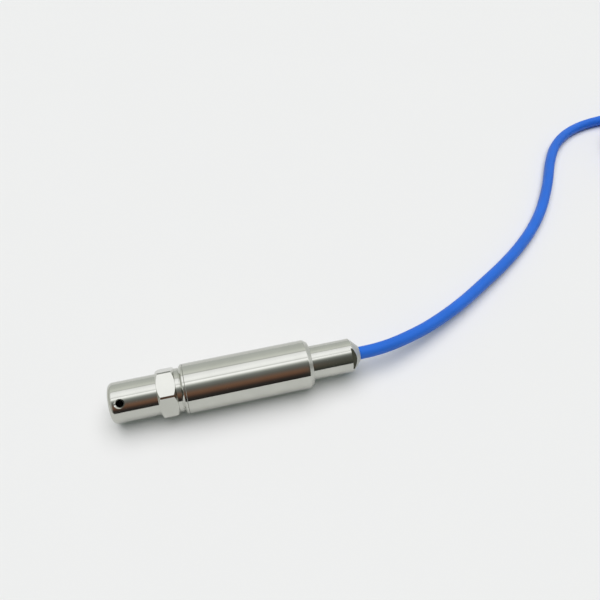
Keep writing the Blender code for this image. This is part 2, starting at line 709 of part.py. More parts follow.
def make_cable(materials):
    """Cable from inside the gland to the coil, the coil's body, and its last turn on top."""
    route = [
        (JACKET_END, 0.0, BODY_RADIUS),
        ((JACKET_END + CABLE_EXIT) / 2, 0.0, BODY_RADIUS),
        (CABLE_EXIT, 0.0, BODY_RADIUS),
    ]
    route += [Vector(point) * MM for point in CABLE_ROUTE]
    points = smooth_route(route, 2.2 * CABLE_DIAMETER)
    place(tube("cable_run", points, CABLE_DIAMETER, 3), materials["cable"])

    corner = CABLE_RADIUS
    outline = []
    corners = [(1, 1), (1, -1), (-1, -1), (-1, 1)]
    for quarter, (side, end) in enumerate(corners):
        centre_radius = COIL_MEAN_RADIUS + side * (COIL_HALF_WIDTH - corner)
        centre_level = (COIL_BASE + COIL_TOP) / 2 + end * ((COIL_TOP - COIL_BASE) / 2 - corner)
        for i in range(COIL_CORNER_STEPS + 1):
            turn = (90 - 90 * quarter - 90 * i / COIL_CORNER_STEPS) * DEGREE
            outline.append(
                (centre_radius + corner * math.cos(turn), centre_level + corner * math.sin(turn))
            )
    coil = place(turned("cable_coil", outline, 36), materials["cable"])
    coil.location = COIL_CENTRE

    span = TAIL_FIRST_ANGLE - TAIL_LAST_ANGLE
    steps = round(span / TAIL_STEP)
    tail = [
        coil_point(TAIL_FIRST_ANGLE - span * i / steps, TAIL_RADIUS, TAIL_LEVEL)
        for i in range(steps + 1)
    ]
    place(tube("cable_tail", tail, CABLE_DIAMETER, 3), materials["cable"])


def make_cable_end(materials):
    """Bare cores at the cable's far end, fanned out over the coil's top."""
    on_coil = COIL_TOP + GAP
    lead_level = on_coil + LEAD_DIAMETER / 2
    vent_level = on_coil + LEAD_DIAMETER + GAP + VENT_TUBE_DIAMETER / 2
    # Core, its thickness and level, where it leaves the cable's face (outward, upward), and its
    # bends: degrees past the cable's end, and millimetres outward from the cable's middle line
    lead = (LEAD_DIAMETER, lead_level)
    vent = (VENT_TUBE_DIAMETER, vent_level)
    cores = [
        ("lead_red", lead, (-1.7, 1.5), [(12, 4.4), (24, 6.4), (36, 7.4), (50, 7.0)]),
        ("lead_black", lead, (0.4, -0.8), [(12, 7.2), (24, 9.6), (36, 10.4), (48, 11.6)]),
        ("lead_shield", lead, (2.4, -1.1), [(12, 10.0), (22, 12.6), (32, 13.6), (42, 13.0)]),
        ("vent_tube", vent, (1.7, 1.9), [(10, 7.0), (20, 11.0)]),
    ]
    colours = {"lead_red": "red", "lead_black": "black", "lead_shield": "bare", "vent_tube": "vent"}
    for name, (diameter, level), (outward, upward), bends in cores:
        route = [
            coil_point(
                TAIL_LAST_ANGLE - degrees, TAIL_RADIUS + outward * MM, TAIL_LEVEL + upward * MM
            )
            for degrees in END_FACE_DEGREES
        ]
        route += [
            coil_point(TAIL_LAST_ANGLE - degrees, TAIL_RADIUS + shift * MM, level)
            for degrees, shift in bends
        ]
        core = tube(name, smooth_route(route, 3.6 * MM), diameter, 2)
        place(core, materials[colours[name]])


def widened(outline, distance):
    """The same outline with each side moved outwards, for an outline that runs anticlockwise."""
    moved = []
    for before, here, after in zip(outline[-1:] + outline[:-1], outline, outline[1:] + outline[:1]):
        before, here, after = Vector(before), Vector(here), Vector(after)
        arriving = (here - before).normalized()
        leaving = (after - here).normalized()
        first = Vector((arriving.y, -arriving.x))
        second = Vector((leaving.y, -leaving.x))
        moved.append(tuple(here + (first + second) * distance / (1 + first.dot(second))))
    return moved


def make_ties(materials):
    """Cable ties: a strap round the coil and the turn on top of it, with the lock on the outside."""
    inner_side = -COIL_HALF_WIDTH - GAP
    outer_side = COIL_HALF_WIDTH + GAP
    tail_middle = TAIL_RADIUS - COIL_MEAN_RADIUS
    tail_top = TAIL_LEVEL + CABLE_RADIUS + GAP
    strap = [
        (inner_side, COIL_BASE - GAP),
        (outer_side, COIL_BASE - GAP),
        (outer_side, COIL_TOP + GAP),
        (tail_middle + CABLE_RADIUS * 0.7, tail_top),
        (inner_side, tail_top),
    ]
    outside = widened(strap, TIE_THICKNESS)
    lock_face = outside[1][0] + TIE_HEAD_DEPTH
    lock = [
        (outside[1][0], TIE_HEAD_BASE),
        (lock_face, TIE_HEAD_BASE),
        (lock_face, TIE_HEAD_BASE + TIE_HEAD_HEIGHT),
        (outside[1][0], TIE_HEAD_BASE + TIE_HEAD_HEIGHT),
    ]
    outside[2:2] = lock
    for number, angle in enumerate(TIE_ANGLES, 1):
        curve = bpy.data.curves.new(f"coil_tie_{number}", "CURVE")
        curve.dimensions = "2D"
        curve.fill_mode = "BOTH"
        curve.extrude = TIE_WIDTH / 2
        for outline in (outside, strap):
            spline = curve.splines.new("POLY")
            spline.points.add(len(outline) - 1)
            for point, (sideways, level) in zip(spline.points, outline):
                point.co = (sideways, level, 0.0, 1.0)
            spline.use_cyclic_u = True
        tie = place(bpy.data.objects.new(f"coil_tie_{number}", curve), materials["tie"])
        tie.location = coil_point(angle, COIL_MEAN_RADIUS, 0.0)
        tie.rotation_euler = (math.pi / 2, 0.0, angle * DEGREE)


def make_materials():
    steel = (0.62, 0.61, 0.58)
    looks = {
        "nose": ("nose_steel", steel, 0.22, 1.0),
        "housing": ("housing_steel", steel, 0.22, 1.0),
        "tube": ("tube_steel", steel, 0.2, 1.0),
        "gland": ("gland_steel", steel, 0.22, 1.0),
        "steel": ("inner_steel", (0.55, 0.54, 0.52), 0.3, 1.0),
        "cell": ("cell_steel", (0.66, 0.65, 0.63), 0.25, 1.0),
        "foil": ("diaphragm_foil", (0.7, 0.69, 0.66), 0.15, 1.0),
        "gold": ("gold_plating", (0.83, 0.62, 0.25), 0.25, 1.0),
        "brass": ("gland_brass", (0.72, 0.55, 0.28), 0.3, 1.0),
        "washer": ("washer_steel", (0.6, 0.6, 0.6), 0.3, 1.0),
        "rubber": ("seal_rubber", (0.03, 0.03, 0.03), 0.6),
        "sleeve": ("sleeve_plastic", (0.75, 0.74, 0.7), 0.5),
        "board": ("board_laminate", (0.03, 0.2, 0.08), 0.4),
        "chip": ("chip_resin", (0.03, 0.03, 0.035), 0.5),
        "tantalum": ("tantalum_resin", (0.7, 0.45, 0.08), 0.4),
        "trimmer": ("trimmer_plastic", (0.05, 0.16, 0.5), 0.4),
        "wire": ("wire_insulation", (0.8, 0.8, 0.78), 0.45),
        "red": ("red_insulation", (0.6, 0.02, 0.02), 0.4),
        "black": ("black_insulation", (0.02, 0.02, 0.02), 0.4),
        "bare": ("bare_copper", (0.75, 0.6, 0.5), 0.35, 1.0),
        "vent": ("vent_nylon", (0.8, 0.8, 0.76), 0.35),
        "cable": ("cable_jacket", (0.045, 0.17, 0.68), 0.42),
        "tie": ("tie_nylon", (0.03, 0.03, 0.03), 0.45),
    }
    return {key: new_material(*look) for key, look in looks.items()}


def main():
    clear_scene()
    new_collection("submersible_level_transmitter")
    new_collection("cutters", hidden=True)
    materials = make_materials()

    axis = bpy.data.objects.new("probe_axis", None)
    cap_axis = bpy.data.objects.new("nose_cap_axis", None)
    for empty in (axis, cap_axis):
        bpy.data.collections["submersible_level_transmitter"].objects.link(empty)
        empty.matrix_world = Matrix.Translation((0, 0, BODY_RADIUS)) @ Matrix.Rotation(
            math.pi / 2, 4, "Y"
        )

    make_nose_cap(cap_axis, materials["nose"])
    make_sensor_housing(axis, materials["housing"])
    make_body_tube(axis, materials["tube"])
    make_gland_body(axis, materials["gland"])
    make_seals(axis, materials["rubber"])
    make_pressure_cell(axis, materials)
    make_electronics(axis, materials)
    make_inner_wires(axis, materials)
    make_gland_fittings(axis, materials)
    make_inner_leads(axis, materials)
    make_cable(materials)
    make_cable_end(materials)
    make_ties(materials)


main()
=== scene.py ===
"""Dresses the submersible level transmitter: polished steel probe, blue vented cable and its coil."""

import math

import bmesh
import bpy
from bpy.props import FloatProperty, FloatVectorProperty, IntProperty, PointerProperty
from mathutils import Matrix, Vector


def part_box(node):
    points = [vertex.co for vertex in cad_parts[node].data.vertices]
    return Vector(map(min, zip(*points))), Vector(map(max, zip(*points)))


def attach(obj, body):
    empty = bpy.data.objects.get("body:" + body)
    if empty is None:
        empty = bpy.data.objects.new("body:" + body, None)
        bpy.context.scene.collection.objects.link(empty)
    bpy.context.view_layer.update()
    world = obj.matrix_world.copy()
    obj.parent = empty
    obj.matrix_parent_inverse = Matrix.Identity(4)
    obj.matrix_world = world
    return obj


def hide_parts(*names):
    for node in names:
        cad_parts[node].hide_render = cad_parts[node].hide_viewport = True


bl_info = {
    "name": "Submersible level transmitter",
    "version": (1, 0, 0),
    "blender": (4, 5, 0),
    "location": "View3D > Sidebar > Transmitter",
    "description": "Models the probe, its cable and the coil round the packed part",
    "category": "Object",
}

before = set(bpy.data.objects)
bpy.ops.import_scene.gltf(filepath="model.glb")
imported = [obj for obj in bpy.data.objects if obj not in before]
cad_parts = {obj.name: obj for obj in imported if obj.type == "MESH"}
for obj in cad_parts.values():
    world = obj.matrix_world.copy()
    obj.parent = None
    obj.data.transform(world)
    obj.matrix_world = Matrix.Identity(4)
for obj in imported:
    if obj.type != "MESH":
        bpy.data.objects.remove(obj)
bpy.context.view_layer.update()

MM = 0.001
DEGREE = math.radians(1)

# Play between pieces that meet
GAP = 0.3 * MM

NOSE_LOW, NOSE_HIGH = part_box("nose_cap")
HOUSING_LOW, HOUSING_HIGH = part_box("sensor_housing")
BODY_LOW, BODY_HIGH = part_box("body_tube")
GLAND_LOW, GLAND_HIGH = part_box("gland_body")
CELL_LOW, CELL_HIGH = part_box("sensor_cell")
COIL_LOW, COIL_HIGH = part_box("cable_coil")

BODY_RADIUS = (BODY_HIGH.z - BODY_LOW.z) / 2
AXIS_HEIGHT = (BODY_LOW.z + BODY_HIGH.z) / 2
AXIS = Vector((0.0, 0.0, AXIS_HEIGHT))
TURN_STEPS = 240
ALONG = Vector((1.0, 0.0, 0.0))
UP = Vector((0.0, 0.0, 1.0))
COIL_CENTRE = (COIL_LOW + COIL_HIGH) / 2

# The cable's way from inside the gland to the coil, in millimetres: the part's own, but up to
# 3 mm higher off the table on its first stretch, where its shadow shows it sag
CABLE_ROUTE = [
    (42.4, 0.0, 14.0),
    (56.4, 0.0, 14.0),
    (70.4, 0.0, 14.0),
    (81.0, 0.6, 13.5),
    (92.0, 2.6, 12.6),
    (105.8, 7.0, 10.8),
    (119.1, 12.1, 9.3),
    (134.4, 19.4, 7.8),
    (150.4, 28.0, 6.8),
    (168.7, 39.2, 5.9),
    (189.2, 52.3, 4.9),
    (207.7, 65.7, 4.2),
    (226.0, 81.4, 3.8),
    (243.0, 99.6, 3.8),
    (260.0, 122.6, 3.8),
    (276.0, 147.6, 3.8),
    (290.0, 165.4, 3.8),
    (307.0, 178.6, 3.8),
    (326.0, 186.2, 3.9),
    (347.0, 188.8, 4.6),
    (367.6, 187.8, 5.3),
]

# Where the coil is entered, how far the smooth route follows it, and the winding angles over
# which the cable changes turn or layer, in degrees
COIL_ENTRY_ANGLE = 80.0
COIL_ENTRY_RUN = 8.0
COIL_LAST_WINDING = 3215.0
COIL_STEP = 5.0
COIL_TURNS_WIDE = 3
ROUTE_STEP = 3.0 * MM
COIL_SHIFT_SPAN = 75.0
COIL_SHIFTS_IN = (360.0, 720.0, 2220.0, 2580.0)
COIL_SHIFTS_OUT = (1290.0, 1650.0)
COIL_RISES = (1005.0, 1935.0, 2865.0)


def length_setting(name, description, millimetres):
    default = millimetres * MM
    return FloatProperty(name=name, description=description, default=default, unit="LENGTH")


def angle_setting(name, description, degrees):
    default = degrees * DEGREE
    return FloatProperty(name=name, description=description, default=default, subtype="ANGLE")


def colour_setting(name, description, default):
    return FloatVectorProperty(name=name, description=description, default=default, subtype="COLOR")


class ProbeSizes(bpy.types.PropertyGroup):
    """Sizes of the turned steel pieces that the frame doesn't give"""

    nose_edge: length_setting("Nose edge", "Radius of the nose's front edge", 3.0)
    nose_wall: length_setting("Nose end wall", "Thickness of the nose's end", 3.0)
    inlet: length_setting("Inlet", "Diameter of an inlet hole", 4.0)
    inlet_mouth: length_setting("Inlet mouth", "Diameter of an inlet's countersunk mouth", 5.8)
    inlet_setback: length_setting("Inlet setback", "Distance of the inlets from the nose's end", 6.2)
    inlet_angle: angle_setting("Inlet angle", "Angle of the first inlet above the horizontal", 52.0)
    inlet_count: IntProperty(name="Inlets", description="Number of inlet holes round the nose", default=3)
    hexagon_flats: length_setting("Hexagon", "Hexagon across flats", 25.0)
    hexagon_trim: length_setting("Hexagon trim", "Depth turned off each corner of the hexagon", 0.33)
    hexagon_chamfer: angle_setting("Hexagon chamfer", "Slope of the chamfers at the hexagon's ends", 40.0)
    hexagon_rim: length_setting(
        "Hexagon rim", "How far the rim of the hexagon's front face lies inside its flats", 0.1
    )
    hexagon_length: length_setting("Hexagon length", "Length of the hexagon", 10.2)
    hexagon_corner: angle_setting("Hexagon corner", "Angle of a hexagon corner above the horizontal", 46.0)
    neck: length_setting("Neck", "Diameter of the neck", 24.6)
    neck_length: length_setting("Neck length", "Length of the neck", 4.8)
    neck_groove: length_setting("Neck groove", "Width of the groove behind the neck", 0.5)
    neck_groove_depth: length_setting("Neck groove depth", "Depth of the groove behind the neck", 0.35)
    shoulder_length: length_setting("Shoulder", "Length of the housing's shoulder against the body", 1.9)
    shoulder_chamfer: length_setting("Shoulder chamfer", "Chamfer at the shoulder's front", 1.1)
    shoulder_step: length_setting("Shoulder step", "How far the shoulder stays under the body", 0.1)
    body_wall: length_setting("Body wall", "Wall of the body tube", 2.1)
    front_chamfer: length_setting("Front chamfer", "Chamfer at the body's front", 0.25)
    rear_chamfer: length_setting("Rear chamfer", "Depth of the body's rear chamfer", 1.8)
    rear_chamfer_length: length_setting("Rear chamfer length", "Length of the body's rear chamfer", 2.4)
    wave_depth: length_setting("Diaphragm wave", "Height of the diaphragm's pressed waves", 0.12)
    stub: length_setting("Stub", "Diameter of the gland's stub", 19.4)
    cone_length: length_setting("Cone", "Length of the gland's cone", 5.0)
    spanner_flats: length_setting("Spanner flats", "Distance across the gland's two flats", 15.0)
    spanner_run: length_setting("Spanner run", "How far the gland's flats run into its stub", 0.9)
    spanner_angle: angle_setting("Spanner angle", "Angle of the first flat above the horizontal", 38.0)
    thread_pitch: length_setting("Thread pitch", "Pitch of the nose's thread", 1.0)


class CableSizes(bpy.types.PropertyGroup):
    """Sizes of the cable, its cores and its ties"""

    cable: length_setting("Cable", "Diameter of the cable", 7.5)
    cable_length: length_setting("Cable length", "Real length of the cable", 3000.0)
    lead: length_setting("Lead", "Diameter of an insulated lead", 1.3)
    stripped: length_setting("Stripped end", "Length of a lead's bare end", 5.0)
    vent: length_setting("Vent tube", "Diameter of the vent tube", 2.2)
    tie_width: length_setting("Tie width", "Width of a cable tie", 4.6)
    tie_thickness: length_setting("Tie thickness", "Thickness of a cable tie", 1.2)
    lock_height: length_setting("Tie lock", "Height of a cable tie's lock", 5.0)
    lock_depth: length_setting("Tie lock depth", "How far a lock stands out", 3.4)


class FinishColours(bpy.types.PropertyGroup):
    """Colours of the object and its floor"""

    steel: colour_setting("Steel", "Colour of the polished steel", (0.52, 0.525, 0.482))
    jacket: colour_setting("Jacket", "Colour of the cable", (0.024, 0.150, 0.66))
    nylon: colour_setting("Nylon", "Colour of the cable ties", (0.022, 0.022, 0.024))
    floor: colour_setting("Floor", "Colour of the floor", (0.855, 0.858, 0.855))


def probe():
    return bpy.context.scene.transmitter_probe


def cable():
    return bpy.context.scene.transmitter_cable


def colours():
    return bpy.context.scene.transmitter_colours


# Selecting and shaping


def deselect_all():
    if bpy.context.mode != "OBJECT":
        bpy.ops.object.mode_set(mode="OBJECT")
    bpy.ops.object.select_all(action="DESELECT")


def work_on(obj):
    """Makes the object the only selected one and the active one."""
    deselect_all()
    obj.select_set(True)
    bpy.context.view_layer.objects.active = obj
    return obj


def across(angle):
    """Unit vector square to the probe's axis: angle 0 faces -Y, a quarter turn faces up."""
    return Vector((0.0, -math.cos(angle), math.sin(angle)))


def on_probe(station, radius, angle=0.0):
    return AXIS + ALONG * station + across(angle) * radius


def pick(kind, test):
    """Selects only the vertices, edges or faces of the piece in edit mode that pass the test."""
    bpy.ops.mesh.select_mode(type=kind)
    bpy.ops.mesh.select_all(action="DESELECT")
    mesh = bpy.context.object.data
    shape = bmesh.from_edit_mesh(mesh)
    shape.normal_update()
    for element in {"VERT": shape.verts, "EDGE": shape.edges, "FACE": shape.faces}[kind]:
        if test(element):
            element.select = True
    shape.select_flush_mode()
    bmesh.update_edit_mesh(mesh)


def extrude(move):
    bpy.ops.mesh.extrude_region_move(TRANSFORM_OT_translate={"value": move})


def start_at(name, place):
    """Starts a piece from one vertex at the place, left selected in edit mode."""
    deselect_all()
    bpy.ops.mesh.primitive_plane_add(size=MM, location=place)
    obj = bpy.context.object
    obj.name = obj.data.name = name
    bpy.ops.object.mode_set(mode="EDIT")
    bpy.ops.mesh.select_mode(type="VERT")
    bpy.ops.mesh.merge(type="CENTER")
    return obj


def draw_chain(name, places, closed):
    """Draws the places as a chain of edges by extruding one vertex after another."""
    obj = start_at(name, places[0])
    for here, there in zip(places, places[1:]):
        extrude(there - here)
    if closed:
        pick("VERT", lambda vert: len(vert.link_edges) == 1)
        bpy.ops.mesh.edge_face_add()
    return obj


def round_corner(place, radius, segments):
    """Rounds the chain's corner nearest to the place."""
    obj = bpy.context.object
    target = obj.matrix_world.inverted() @ place
    shape = bmesh.from_edit_mesh(obj.data)
    nearest = min(shape.verts, key=lambda vert: (vert.co - target).length).index
    pick("VERT", lambda vert: vert.index == nearest)
    bpy.ops.mesh.bevel(offset=radius, offset_type="OFFSET", segments=segments, affect="VERTICES")


def turn_piece(name, outline, closed=True, steps=TURN_STEPS, start=0.0):
    """Turns a piece on the probe's axis: draws half of its section and spins it.

    The outline holds (station, radius) or (station, radius, fillet).
    """
    places = [on_probe(station, radius, start) for station, radius, *_ in outline]
    obj = draw_chain(name, places, closed)
    for place, (_, _, *fillet) in zip(places, outline):
        if fillet:
            segments = 3 if fillet[0] < MM else 10
            round_corner(place, fillet[0], segments)
    bpy.ops.mesh.select_all(action="SELECT")
    bpy.ops.mesh.spin(steps=steps, angle=2 * math.pi, center=AXIS, axis=ALONG)
    bpy.ops.mesh.select_all(action="SELECT")
    bpy.ops.mesh.remove_doubles(threshold=1e-6)
    bpy.ops.mesh.normals_make_consistent(inside=False)
    return settle(obj)


def settle(obj):
    """Leaves edit mode, puts the piece's place into its mesh and shades it."""
    work_on(obj)
    bpy.ops.object.transform_apply()
    bpy.ops.object.shade_smooth_by_angle(angle=30 * DEGREE)
    return obj


def modify(obj, kind, **settings):
    """Adds a modifier with the given settings and applies it."""
    modifier = obj.modifiers.new(kind.lower(), kind)
    for name, value in settings.items():
        setattr(modifier, name, value)
    work_on(obj)
    bpy.ops.object.modifier_apply(modifier=modifier.name)
    return obj


def round_edges(obj, width, segments):
    """Rounds the edges of a moulded piece that turn by more than 60 degrees."""
    return modify(
        obj, "BEVEL", width=width, segments=segments, limit_method="ANGLE", angle_limit=60 * DEGREE
    )


def cut(obj, cutter):
    """Cuts the cutter's shape out of the piece and removes the cutter."""
    modify(obj, "BOOLEAN", operation="DIFFERENCE", object=cutter)
    bpy.data.objects.remove(cutter, do_unlink=True)


def bevel_edges(obj, test, width):
    """Bevels the edges of a piece that pass the test."""
    work_on(obj)
    bpy.ops.object.mode_set(mode="EDIT")
    pick("EDGE", test)
    bpy.ops.mesh.bevel(offset=width, offset_type="OFFSET", segments=2, clamp_overlap=True)
    bpy.ops.mesh.select_mode(type="VERT")
    bpy.ops.object.mode_set(mode="OBJECT")


def sharp(edge, angle=30 * DEGREE):
    return len(edge.link_faces) == 2 and edge.calc_face_angle(0.0) > angle


def finish_faces(obj, material, test):
    """Gives the faces that pass the test a finish of their own."""
    obj.data.materials.append(material)
    for face in obj.data.polygons:
        if test(face):
            face.material_index = len(obj.data.materials) - 1


def from_axis(place):
    return math.hypot(place.y, place.z - AXIS_HEIGHT)


def even_normals(obj):
    """Keeps the mirror image true on large faces beside narrow bevels."""
    return modify(obj, "WEIGHTED_NORMAL", keep_sharp=True, weight=100)


def dress(obj, material, slot, *nodes, body="probe"):
    """Gives the piece its material and body, and lets it stand for its CAD nodes; the slot is not used."""
    if material:
        obj.data.materials.clear()
        obj.data.materials.append(material)
    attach(obj, body)
    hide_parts(*nodes)


def smooth_route(points, spacing):
    """Evenly spaced points on a smooth curve through the given ones."""
    points = [Vector(point) for point in points]
    ends = [2 * points[0] - points[1]] + points + [2 * points[-1] - points[-2]]
    fine = []
    for before, start, end, after in zip(ends, ends[1:], ends[2:], ends[3:]):
        for i in range(24):
            t = i / 24
            fine.append(
                0.5
                * (
                    2 * start
                    + (end - before) * t
                    + (2 * before - 5 * start + 4 * end - after) * t**2
                    + (3 * start - before - 3 * end + after) * t**3
                )
            )
    fine.append(points[-1])
    lengths = [0.0]
    for here, there in zip(fine, fine[1:]):
        lengths.append(lengths[-1] + (there - here).length)
    count = max(2, round(lengths[-1] / spacing))
    even = []
    index = 0
    for i in range(count + 1):
        wanted = lengths[-1] * i / count
        while index < len(fine) - 2 and lengths[index + 1] < wanted:
            index += 1
        part = (wanted - lengths[index]) / (lengths[index + 1] - lengths[index])
        even.append(fine[index].lerp(fine[index + 1], part))
    return even


def tube(name, points, diameter, bevel_resolution):
    """Round tube through the points, with flat ends."""
    curve = bpy.data.curves.new(name, "CURVE")
    curve.dimensions = "3D"
    curve.bevel_depth = diameter / 2
    curve.bevel_resolution = bevel_resolution
    curve.use_fill_caps = True
    spline = curve.splines.new("POLY")
    spline.points.add(len(points) - 1)
    for point, place in zip(spline.points, points):
        point.co = (*place, 1.0)
    spline.use_smooth = True
    obj = bpy.data.objects.new(name, curve)
    bpy.context.scene.collection.objects.link(obj)
    return obj


# Materials

# The part of a noise's range that holds nearly all of it
NOISE_LOW = 0.3
NOISE_HIGH = 0.7


def add_node(tree, kind, inputs=(), output=0, **settings):
    """Adds a node, sets it, gives its inputs their values or links, and returns one of its outputs."""
    node = tree.nodes.new(kind)
    for name, value in settings.items():
        setattr(node, name, value)
    for socket, value in dict(inputs).items():
        if isinstance(value, bpy.types.NodeSocket):
            tree.links.new(value, node.inputs[socket])
        else:
            node.inputs[socket].default_value = value
    return node.outputs[output]


def colour_ramp(tree, factor, stops):
    """Colour ramp through stops of a position and a colour."""
    output = add_node(tree, "ShaderNodeValToRGB", {"Fac": factor})
    elements = output.node.color_ramp.elements
    elements.remove(elements[-1])
    for index, (position, colour) in enumerate(stops):
        element = elements[0] if index == 0 else elements.new(position)
        element.position = position
        element.color = (*colour, 1.0)
    return output


class Shader:
    """A node material in the making, with one Principled shader."""

    def __init__(self, name, roughness, metallic=0.0):
        self.material = bpy.data.materials.new(name)
        self.material.use_nodes = True
        self.tree = self.material.node_tree
        self.inputs = self.tree.nodes["Principled BSDF"].inputs
        self.inputs["Roughness"].default_value = roughness
        self.inputs["Metallic"].default_value = metallic
        self.coordinates = add_node(self.tree, "ShaderNodeTexCoord", output="Object")

    def noise(self, scale, stretch=(1.0, 1.0, 1.0), detail=3.0):
        """Noise on Object coordinates, drawn out by the stretch. Scales are per metre."""
        place = add_node(self.tree, "ShaderNodeMapping", {"Vector": self.coordinates, "Scale": stretch})
        return add_node(
            self.tree, "ShaderNodeTexNoise", {"Vector": place, "Scale": scale, "Detail": detail}, "Fac"
        )

    def vary_colour(self, value, first, second):
        output = colour_ramp(self.tree, value, [(NOISE_LOW, first), (NOISE_HIGH, second)])
        self.tree.links.new(output, self.inputs["Base Color"])

    def vary_roughness(self, value, low, high):
        spread = {"From Min": NOISE_LOW, "From Max": NOISE_HIGH, "To Min": low, "To Max": high}
        output = add_node(self.tree, "ShaderNodeMapRange", {"Value": value, **spread})
        self.tree.links.new(output, self.inputs["Roughness"])

    def relief(self, height, distance):
        """Adds a bump to those already there."""
        inputs = {"Height": height, "Distance": distance}
        if self.inputs["Normal"].links:
            inputs["Normal"] = self.inputs["Normal"].links[0].from_socket
        output = add_node(self.tree, "ShaderNodeBump", inputs)
        self.tree.links.new(output, self.inputs["Normal"])


def shaded(colour, factor):
    return tuple(min(1.0, channel * factor) for channel in colour)


def steel_finish(name, roughness, shade=1.0):
    """Polished turned steel: faint marks run round the axis, and the sheen varies a little. A shade other
    than 1 makes a darker or lighter copy of the steel, as painted shade or painted light.
    """
    shader = Shader(name, roughness, metallic=1.0)
    colour = shaded(tuple(colours().steel), shade)
    shader.vary_colour(shader.noise(90.0), shaded(colour, 0.97), shaded(colour, 1.03))
    shader.vary_roughness(shader.noise(160.0, (1.0, 0.4, 0.4)), roughness * 0.8, roughness * 1.2)
    shader.relief(shader.noise(60.0, (45.0, 1.0, 1.0), detail=4.0), 0.004 * MM)
    shader.relief(shader.noise(700.0, detail=2.0), 0.0012 * MM)
    return shader.material


def bore_painted_shade_finish(name):
    """Bored steel out of sight of the polishing wheel: dull and ringed by the tool, with its colour
    darkened to 0.35 of the steel as painted shade for the recess.
    """
    shader = Shader(name, 0.5, metallic=1.0)
    # Painted shade: the steel's colour darkened to 0.35 for the shade inside the nose
    colour = shaded(tuple(colours().steel), 0.35)
    shader.vary_colour(shader.noise(300.0), shaded(colour, 0.8), shaded(colour, 1.15))
    shader.vary_roughness(shader.noise(500.0), 0.42, 0.6)
    shader.relief(shader.noise(60.0, (60.0, 1.0, 1.0), detail=4.0), 0.02 * MM)
    return shader.material


def jacket_finish():
    """Extruded polyurethane: satin blue with a faint drawn grain."""
    shader = Shader("cable_jacket_finish", 0.46)
    colour = tuple(colours().jacket)
    shader.vary_colour(shader.noise(60.0), shaded(colour, 0.94), shaded(colour, 1.06))
    shader.vary_roughness(shader.noise(240.0), 0.4, 0.52)
    shader.relief(shader.noise(1400.0, detail=2.0), 0.006 * MM)
    shader.inputs["Specular IOR Level"].default_value = 0.25
    return shader.material


def plastic_finish(name, colour, roughness, grain=0.01 * MM):
    """Moulded plastic with a fine grain and slightly uneven gloss."""
    shader = Shader(name, roughness)
    shader.vary_colour(shader.noise(150.0), shaded(colour, 0.9), shaded(colour, 1.1))
    shader.vary_roughness(shader.noise(400.0), roughness * 0.85, roughness * 1.15)
    shader.relief(shader.noise(2200.0, detail=2.0), grain)
    return shader.material


def metal_finish(name, colour, roughness):
    """Small turned or plated metal parts."""
    shader = Shader(name, roughness, metallic=1.0)
    shader.vary_colour(shader.noise(200.0), shaded(colour, 0.92), shaded(colour, 1.06))
    shader.vary_roughness(shader.noise(500.0), roughness * 0.8, roughness * 1.25)
    shader.relief(shader.noise(120.0, (30.0, 1.0, 1.0)), 0.003 * MM)
    return shader.material


def weld_finish():
    """Laser weld bead: overlapping spots, dull and slightly straw-coloured by the heat."""
    shader = Shader("weld_finish", 0.4, metallic=1.0)
    shader.vary_colour(shader.noise(400.0), (0.50, 0.47, 0.41), (0.66, 0.64, 0.60))
    shader.vary_roughness(shader.noise(900.0), 0.28, 0.5)
    shader.relief(shader.noise(1500.0, detail=1.0), 0.03 * MM)
    return shader.material


def board_finish():
    """Green solder mask over copper tracks that run along and across the board."""
    shader = Shader("board_laminate_finish", 0.4)
    inputs = {
        "Vector": shader.coordinates,
        "Scale": 90.0,
        "Mortar Size": 0.035,
        "Mortar Smooth": 0.2,
        "Color1": (0.025, 0.17, 0.07, 1.0),
        "Color2": (0.03, 0.2, 0.08, 1.0),
        "Mortar": (0.07, 0.32, 0.12, 1.0),
    }
    tracks = add_node(shader.tree, "ShaderNodeTexBrick", inputs, "Color")
    shader.tree.links.new(tracks, shader.inputs["Base Color"])
    shader.vary_roughness(shader.noise(500.0), 0.34, 0.46)
    shader.relief(tracks.node.outputs["Fac"], 0.02 * MM)
    return shader.material


# Stage

CAMERA_PLACE = (-0.01304, -0.19687, 0.309)
CAMERA_ELEVATION = 49.53
CAMERA_TURN = 13.9
CAMERA_LENS = 37.5
FLOOR_SIZE = 8.0
FLOOR_FRONT = -0.26

# All light together, the even light's share and tint, and the softbox's tint, direction and width
LIGHT_LEVEL = 1.01
AMBIENT_SHARE = 0.25
AMBIENT_TINT = (0.86, 1.0, 0.93)
KEY_TINT = (1.0, 0.962, 0.982)
KEY_PLACE = (0.0, 0.11, 1.0)
KEY_ANGLE = 70.0

# What polished steel mirrors: degrees from the front horizon over the top to the rear one,
# with the light it meets there. The room's dark side is warm on the left and grey on the right,
# and a pale wall ends it on the far left. The places of both changes are the x of a direction.
ROOM_LEVEL = 1.12
WARM_END = 0.146
GREY_START = 0.156
LEFT_WALL_START = -0.45
LEFT_WALL_FULL = -0.85
LEFT_WALL = (0.60, 0.61, 0.58, 1.0)
DARK_SIDE_WARM = [
    (0.0, (0.032, 0.028, 0.026)),
    (9.0, (0.036, 0.030, 0.027)),
    (17.0, (0.090, 0.052, 0.040)),
    (25.0, (0.176, 0.092, 0.060)),
    (33.0, (0.222, 0.120, 0.078)),
    (42.0, (0.19, 0.135, 0.110)),
    (50.0, (0.172, 0.164, 0.150)),
]
DARK_SIDE_GREY = [
    (0.0, (0.040, 0.042, 0.038)),
    (9.0, (0.062, 0.064, 0.052)),
    (17.0, (0.080, 0.082, 0.066)),
    (25.0, (0.094, 0.094, 0.080)),
    (33.0, (0.104, 0.106, 0.092)),
    (42.0, (0.112, 0.115, 0.104)),
    (50.0, (0.145, 0.150, 0.138)),
]
